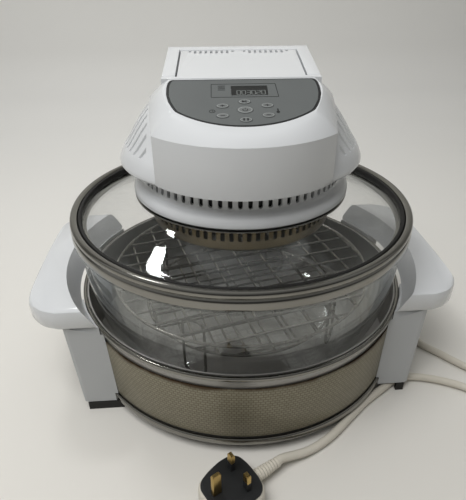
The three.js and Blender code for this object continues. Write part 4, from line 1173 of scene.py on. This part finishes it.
@dataclass
class Housing:
    """The white housing: round wings, the console at the front and the spine on top."""

    plane: PanelPlane
    dome: Outline = (
        (116.3, 228.5), (115.8, 232), (112, 240.5), (105.5, 250), (98, 262), (90.5, 272.5), (83, 281),
        (72.5, 291), (60, 297),
    )
    dome_bottom: float = 226.0
    front_share: float = 0.858
    console_half: float = 75.0
    console_side_y: float = -78.0
    console_sag: float = 34.0
    spine_half: float = 69.5
    spine_front: float = -24.0
    spine_front_z: float = 304.0
    spine_back: float = 53.4
    spine_corner: float = 9.0
    spine_edge: float = 0.8
    back_drop: float = 4.0
    spine_slope: float = math.atan2(13, 87)
    slit_x: float = 56.0
    slit_front: float = -20.0
    recess: float = 10.1
    groove_count: int = 6
    vent_count: int = 9

    def spine_z(self, y: float | np.ndarray) -> float | np.ndarray:
        """Gives the height of the spine's top at a distance from front to back."""
        return self.spine_front_z + (y - self.spine_front) * math.tan(self.spine_slope)

    def wings(self, name: str, shrink: float) -> Piece:
        """Builds the round part of the housing, drawn in towards the front.

        Args:
            name: Name of the piece.
            shrink: How far inside the outer skin it lies.

        Returns:
            The turned solid.
        """
        curve = smooth_path([(r - shrink, z - shrink * 0.6) for r, z in self.dome], 60)
        low = self.dome_bottom
        foot = [(0, low), (113.6 - shrink, low), (115.2 - shrink, low + 0.7)]
        wings = revolve(name, [*foot, *curve, (51, 298), (0, 298)], 240, closed=False)
        points = np.empty(len(wings.data.vertices) * 3, np.float32)
        wings.data.vertices.foreach_get("co", points)
        points = points.reshape(-1, 3)
        points[:, 1] *= np.where(points[:, 1] < 0, self.front_share, 1.0)
        wings.data.vertices.foreach_set("co", points.ravel())
        wings.data.update()
        return wings

    def console(self) -> Piece:
        """Builds the console as a skin over its floor plan, its crease and its top edge."""
        front_y = self.console_side_y - self.console_sag
        front = front_arc(self.console_half, self.console_sag, front_y, 49)
        side = smooth_path([(75, -78), (77.2, -64), (79, -50), (80.4, -35), (81, -20)], 17)[1:]
        rise = np.interp(side[:, 1], [-78, -64, -50, -35, -20], [271, 274.5, 279, 284, 288])
        plan = np.vstack([front, mirrored(side)])
        floor = np.column_stack([plan, np.full(len(plan), 228.0)])
        crease = np.column_stack([plan, np.concatenate([np.full(49, 271.0), rise, rise[::-1]])])
        shoulder = smooth_path([(57.3, -13.9), (60.5, -5), (65, 8), (67, 24), (63, 37.4)], 17)[1:]
        edge = np.vstack([front_arc(57.3, 23.1, -37.0, 49), mirrored(shoulder)])
        top = self.plane.lay(edge, 0)
        top[:, 0] -= self.plane.shift
        rows = [floor, crease]
        for share in (0.25, 0.5, 0.75):
            bulge = 1.6 * math.sin(math.pi * share)
            rows.append(crease + (top - crease) * share + np.array([0, 0, bulge]))
        return eased(loft("console", [*rows, top]), 2.0, 4, 32)

    def spine(self) -> Piece:
        """Builds the raised spine with its sloping top, its eased edges and its rounded back.

        Returns:
            The spine: each ring of its edge is the plan moved inwards by d (1 - cos t) along its normal and
            raised by d sin t, where d is the rounding, which is wider at the back.
        """
        corner = self.spine_corner
        arc = np.linspace(0, math.pi / 2, 9)
        turned = np.column_stack([np.cos(arc), np.sin(arc)])
        back = np.array([self.spine_half - corner, self.spine_back - corner]) + corner * turned
        plan = mirrored(np.vstack([[(self.spine_half, self.spine_front)], back]))
        normal = mirrored(np.vstack([[(0.7, -0.7)], turned]))
        nearness = np.clip((plan[:, 1] - self.spine_back + corner) / corner, 0, 1)
        size = self.spine_edge + (self.back_drop - self.spine_edge) * nearness
        rings = [np.column_stack([plan, np.full(len(plan), 250.0)])]
        for turn in np.linspace(0, math.pi / 2, 6):
            moved = plan - normal * (size * (1 - math.cos(turn)))[:, None]
            rings.append(np.column_stack([moved, self.spine_z(moved[:, 1]) - size * (1 - math.sin(turn))]))
        return loft("spine", rings, 40)

    def sloped_block(self, name: str, plan: Outline, drop_top: float, drop_bottom: float) -> Piece:
        """Builds a block whose top and bottom follow the spine's slope.

        Args:
            name: Name of the piece.
            plan: Its corners from above.
            drop_top: How far its top lies below the spine's.
            drop_bottom: How far its underside lies below the spine's top.

        Returns:
            The block.
        """
        flat = np.array(plan)
        top = self.spine_z(flat[:, 1])
        return loft(name, [np.column_stack([flat, top - drop]) for drop in (drop_bottom, drop_top)])

    def grooves(self) -> Piece:
        """Builds the cutters of the wing grooves: upright blades whose inner edge follows the wing."""
        blades = []
        for side in (-1, 1):
            left, right = sorted((side * 83.5, side * 124))
            for k in range(self.groove_count):
                y = -54 + 9 * k
                blades.append(block("blade", (left, y - 1.5, 243.5), (right, y + 1.5, 298)))
        return combined(joined("blades", blades), [self.wings("core", 2.0)], "DIFFERENCE")

    def vents(self, side: int) -> list[Piece]:
        """Builds the cutters of the air slots on one side of the spine's back, shorter at both ends."""
        cuts = []
        for k in range(self.vent_count):
            x = side * (5.7 + 5.2 * k)
            half = 2.0 if k in (0, self.vent_count - 1) else 5.5
            cuts.append(block("vent", (x - 1.2, 47.5 - half, 304), (x + 1.2, 47.5 + half, 330)))
        return cuts

    def make_gland(self, looks: Looks) -> None:
        """Builds the ribbed cord outlet at the back."""
        tail = np.linspace(0, 1, 49)
        ribs = 0.12 * (0.5 + 0.5 * np.cos(tail * 10 * math.pi)) * (tail > 0.15)
        radius = np.where(tail < 0.1, 9.0, (6.6 - 1.7 * tail) * (1 - ribs))
        line = np.column_stack([np.zeros(49), 117.5 + 27.5 * tail, np.full(49, 236.0)])
        gland = tube("cord_outlet", line, radius, 24)
        settle_on(gland, Body.LID, "charcoal", looks["charcoal"], "cord_gland")

    def make(self, looks: Looks, panel_outline: Outline) -> None:
        """Joins the housing's forms and cuts its recesses.

        Args:
            looks: The oven's finishes.
            panel_outline: Outline of the control panel as u and v.
        """
        whole = combined(self.wings("white_housing", 0.0), [self.console(), self.spine()], "UNION")
        cuts = [self.grooves()]
        vents = []
        for side in (-1, 1):
            left, right = sorted((side * self.slit_x, side * 70.6))
            recess = rectangle(left, self.slit_front, right, 56)
            cuts.append(self.sloped_block("recess", recess, -1.0, self.recess))
            vents += self.vents(side)
        cuts.append(joined("vents", vents))
        # Painted shade: a charcoal block 3.4 mm below the spine's top fills the vents, so their openings
        # look dark.
        shade_sheet = self.sloped_block("vent_painted_shade", rectangle(-50, 41, 50, 54), 3.4, 6.0)
        settle_on(shade_sheet, Body.LID, "charcoal", looks["charcoal"])
        cuts.append(self.plane.slab("pocket", np.array(panel_outline) * 1.004, -2.7, 6))
        combined(whole, cuts, "DIFFERENCE")
        settle_on(whole, Body.LID, "white_plastic", looks["white_plastic"], "housing")
        self.make_gland(looks)
        for node, look in (
            ("handle_pin_left", "polished_steel"), ("handle_pin_right", "polished_steel"),
            ("control_board", "circuit_board"),
        ):
            dress(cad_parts[node], looks[look])


@dataclass(frozen=True)
class Key:
    """An oval touch key: its node and where it lies on the panel."""

    node: str
    u: float
    v: float
    radius_u: float = 4.9
    radius_v: float = 3.1


KEYS = (
    Key("key_play", 0, 0.8), Key("key_power", 0, -11, 6.3, 4.6), Key("key_pause", 0, -24.6),
    Key("key_time_plus", -18, -4.9), Key("key_time_minus", -18, -18.7),
    Key("key_temp_plus", 18, -4.9), Key("key_temp_minus", 18, -18.7),
)
STROKES = {
    "a": ((0, 6), (3, 6)), "b": ((3, 6), (3, 3)), "c": ((3, 3), (3, 0)), "d": ((0, 0), (3, 0)),
    "e": ((0, 3), (0, 0)), "f": ((0, 6), (0, 3)), "g": ((0, 3), (3, 3)),
}
DIGITS = {"0": "abcdef", "2": "abged", "3": "abgcd"}


@dataclass
class ControlPanel:
    """The grey panel with its display, touch keys and printed signs."""

    plane: PanelPlane
    shoulders: Outline = ((63.6, 32), (64.4, 24), (64, 13), (61.6, 2), (58.4, -6), (55.4, -12))
    half_top: float = 61.5
    top_v: float = 36.4
    bottom_v: float = -33.8
    thickness: float = 2.2
    trim: float = 1.8
    display: tuple[float, float, float, float] = (-10.2, 11.2, 19.8, 25.2)
    display_gap: float = 0.3
    clock: tuple[float, float] = (-26.2, -12.0)
    thermometer: tuple[float, float] = (26.0, -12.6)
    shown: str = "003020"

    def outline(self, inset: float) -> Outline:
        """Gives the panel's outline as u and v, drawn in by a distance."""
        corner_u, corner_v = self.shoulders[-1]
        arc = front_arc(corner_u, corner_v - self.bottom_v, self.bottom_v, 41)
        right = np.array([*reversed(self.shoulders[:-1]), (self.half_top, self.top_v)])
        points = np.array(rounded(np.vstack([arc, mirrored(right)]), 2.4, 4))
        middle = np.array([0.0, 4.0])
        offset = points - middle
        return middle + offset * (1 - inset / np.linalg.norm(offset, axis=1)[:, None])

    def band_ring(self, name: str, outer: Outline, inner: Outline, low: float, high: float) -> Piece:
        """Makes a flat ring between two outlines with the same number of points.

        Args:
            name: Name of the piece.
            outer: Outer outline.
            inner: Inner outline.
            low: Height of its underside above the panel.
            high: Height of its top above the panel.

        Returns:
            The ring.
        """
        sides = ((outer, low), (outer, high), (inner, high), (inner, low))
        points = np.array([self.plane.lay(outline, height) for outline, height in sides])
        faces = grid_faces(4, points.shape[1], True, True)
        return tidy_surface(mesh_object(name, points.reshape(-1, 3), faces), 30)

    def arc(
        self, u: float, v: float, radius_u: float, radius_v: float, angle: np.ndarray | int = 48
    ) -> list[tuple[float, float]]:
        """Gives a curve round a point.

        Args:
            u: Place of its middle to the right.
            v: Place of its middle up the slope.
            radius_u: Radius to the right.
            radius_v: Radius up the slope.
            angle: Angles of its points, or the number of points of a whole ellipse.

        Returns:
            The points.
        """
        if isinstance(angle, int):
            angle = np.linspace(0, 2 * math.pi, angle, endpoint=False)
        return list(zip(u + radius_u * np.cos(angle), v + radius_v * np.sin(angle)))

    def oval(self, key: Key, share_u: float, share_v: float) -> Outline:
        """Gives a key's oval, with each of its radii scaled."""
        return self.arc(key.u, key.v, key.radius_u * share_u, key.radius_v * share_v)

    def cells(self, outer: list, inner: list, first: int) -> list[Outline]:
        """Splits the band between two curves into cells, from the given point on."""
        return [[outer[k - 1], outer[k], inner[k], inner[k - 1]] for k in range(first, len(outer))]

    def strip(self, start: tuple[float, float], end: tuple[float, float], width: float) -> Outline:
        """Gives the outline of a short straight stroke."""
        a, b = np.array(start, float), np.array(end, float)
        along = (b - a) / np.linalg.norm(b - a)
        across = np.array([-along[1], along[0]]) * width / 2
        return [a - across, b - across, b + across, a + across]

    def sign(self, name: str, shapes: list, height: float, body: Body | str, look: Look) -> None:
        """Prints flat shapes on the panel.

        Args:
            name: Name of the piece.
            shapes: Outlines as u and v.
            height: Height of the print above the panel.
            body: Body that it moves with.
            look: Material.
        """
        pieces = [self.plane.slab("stroke", shape, height - 0.05, height + 0.06) for shape in shapes]
        settle_on(joined(name, pieces), body, "charcoal", look)

    def key_shapes(self, key: Key) -> list[Outline]:
        """Gives the sign printed on a key: play, power, pause, plus or minus."""
        u, v = key.u, key.v
        if key.node == "key_play":
            bar = [(0.8, -0.9), (0.8, 2.5), (1.5, 2.5), (1.5, -0.9)]
            return [[(-2.2, -0.9), (-2.2, 2.5), (1.2, 0.8)], bar]
        if key.node == "key_power":
            angle = np.linspace(math.radians(130), math.radians(410), 24)
            curves = self.arc(0, -11.3, 2.3, 1.9, angle), self.arc(0, -11.3, 1.7, 1.35, angle)
            return [*self.cells(*curves, 1), self.strip((0, -10.6), (0, -8.6), 0.6)]
        if key.node == "key_pause":
            return [self.strip((x, -26.2), (x, -23), 1.4) for x in (-1.5, 1.5)]
        level = self.strip((u - 1.7, v), (u + 1.7, v), 0.7)
        upright = self.strip((u, v - 1.4), (u, v + 1.4), 0.7)
        return [level, upright] if key.node.endswith("plus") else [level]

    def make_keys(self, looks: Looks) -> None:
        """Builds the seven oval keys, each with a light ring round its edge that paints the edge's
        highlight, and their printed signs.
        """
        for key in KEYS:
            body = "body_" + key.node
            rows = [(1.0, -1.5), (1.0, 0.2), (0.97, 0.38), (0.9, 0.48)]
            cap = loft(key.node + "_cap", [self.plane.lay(self.oval(key, s, s), h) for s, h in rows], 50)
            settle_on(cap, body, "grey_panel", looks["grey_key"], key.node)
            # Painted highlight: a light ring round each key's edge.
            curves = self.oval(key, 0.9, 0.88), self.oval(key, 0.8, 0.74)
            ring = self.band_ring(key.node + "_ring", *curves, 0.4, 0.53)
            settle_on(ring, body, "grey_panel", looks["key_rim_highlight"])
            self.sign(key.node + "_sign", self.key_shapes(key), 0.52, body, looks["dark_print"])

    def make_display(self, looks: Looks) -> None:
        """Builds the display window, its digits and the printed frame round it."""
        glass = self.plane.slab("display_glass", rectangle(*self.display), -2.2, -0.1)
        settle_on(glass, Body.LID, "charcoal", looks["display_glass"], "display_lens")
        left, right, low, high = -27.0, 28.4, 8.2, 28.6
        corners = [(left, low), (right, low), (right - 1.2, high), (left, high)]
        lines = [self.strip(corners[k], corners[(k + 1) % 4], 0.55) for k in range(4)]
        for row in range(4):
            v = 25.5 - row * 2.1
            lines.append(self.strip((-21.5, v), (-15.5, v), 0.5 if row % 2 else 0.9))
        self.sign("display_frame", lines, 0.04, Body.LID, looks["dark_print"])
        lit = []
        for k, digit in enumerate(self.shown):
            corner = np.array([self.display[0] + 4.6 + k * 4.1, self.display[1] + 0.9])
            for name in DIGITS[digit]:
                start, end = STROKES[name]
                lit.append(self.strip(corner + start, corner + end, 0.7))
        self.sign("display_digits", lit, -0.02, Body.LID, looks["display_digit"])

    def make_symbols(self, looks: Looks) -> None:
        """Prints the clock and the thermometer that stand beside the keys."""
        u, v = self.clock
        ring = self.cells(self.arc(u, v, 2.5, 2.3, 24), self.arc(u, v, 1.9, 1.7, 24), 0)
        hands = [self.strip((u, v - 0.2), (u, v + 1.3), 0.5), self.strip((u, v), (u + 1.1, v), 0.5)]
        self.sign("clock_symbol", [*ring, *hands], 0.04, Body.LID, looks["dark_print"])
        u, v = self.thermometer
        shapes = [self.strip((u, v - 0.5), (u, v + 3.2), 1.1), self.arc(u, v - 1.6, 1.4, 1.5, 20)]
        self.sign("thermometer_symbol", shapes, 0.04, Body.LID, looks["dark_print"])

    def make(self, looks: Looks) -> None:
        """Builds the panel's face, border, display, keys and signs."""
        curves = self.outline(0), self.outline(self.trim)
        border = self.band_ring("panel_border", *curves, -self.thickness, -0.1)
        settle_on(border, Body.LID, "charcoal", looks["charcoal"], "panel_trim")
        face = self.plane.slab("panel_face", self.outline(self.trim + 0.3), -self.thickness, 0)
        holes = []
        for key in KEYS:
            oval = self.arc(key.u, key.v, key.radius_u + 0.25, key.radius_v + 0.25)
            holes.append(self.plane.slab("hole", oval, -4, 4))
        u0, v0, u1, v1 = self.display
        gap = self.display_gap
        window = rectangle(u0 - gap, v0 - gap, u1 + gap, v1 + gap)
        combined(face, [*holes, self.plane.slab("window", window, -4, 4)], "DIFFERENCE")
        settle_on(face, Body.LID, "grey_panel", looks["grey_panel"], "control_panel")
        self.make_display(looks)
        self.make_symbols(looks)
        self.make_keys(looks)


@dataclass
class CarryHandle:
    """The white loop handle that lies flush on the spine."""

    housing: Housing
    thickness: float = 9.5
    inner_x: float = 57.9
    outer_x: float = 69.2
    pivot_y: float = -14.2
    reach: float = 80.4
    bar: float = 11.6
    bore_radius: float = 2.3

    def prism(self, profile: Outline, x0: float, x1: float) -> Piece:
        """Carries a side view, given as distance from the pivot and height, from one x to another."""
        flat = np.array(profile)
        return loft("prism", [np.column_stack([np.full(len(flat), x), flat]) for x in (x0, x1)])

    def make(self, looks: Looks) -> None:
        """Builds two arms with round ends and the bar that joins them."""
        half = self.thickness / 2
        angle = np.linspace(math.pi / 2, 3 * math.pi / 2, 13)
        end = self.reach - 2
        arm = [(end, -half), (end, half), *zip(half * np.cos(angle), half * np.sin(angle))]
        bar = rounded(rectangle(self.reach - self.bar, -half, self.reach, half), 2.4, 5)
        arms = [self.prism(arm, self.inner_x, self.outer_x), self.prism(arm, -self.outer_x, -self.inner_x)]
        handle = combined(self.prism(bar, -self.outer_x, self.outer_x), arms, "UNION")
        bores = []
        for side in (-1, 1):
            line = np.array([(side * x, 0, 0) for x in (56.9, 62, 66.3)])
            bores.append(tube("bore", line, self.bore_radius, 20))
        combined(handle, bores, "DIFFERENCE")
        eased(handle, 1.1, 3, 45)
        handle.name = "carry_loop"
        pivot = Vector((0, self.pivot_y, self.housing.spine_z(self.pivot_y) - half)) * MM
        handle.data.transform(Matrix.Translation(pivot) @ Matrix.Rotation(self.housing.spine_slope, 4, "X"))
        settle_on(handle, Body.HANDLE, "white_plastic", looks["white_plastic"], "carry_handle")


def main() -> None:
    """Builds the studio and every piece of the oven."""
    logging.basicConfig(level=logging.INFO, format="%(message)s")
    studio = Studio()
    studio.aim()
    looks = make_looks()
    PowerLead().make(looks)
    studio.light()
    studio.ground()
    Stand().make(looks)
    GlassWare().make(looks)
    WireRacks().make(looks)
    HeaterHead().make(looks)
    plane = PanelPlane()
    panel = ControlPanel(plane)
    housing = Housing(plane)
    housing.make(looks, panel.outline(0))
    panel.make(looks)
    CarryHandle(housing).make(looks)


if __name__ == "__main__":
    main()
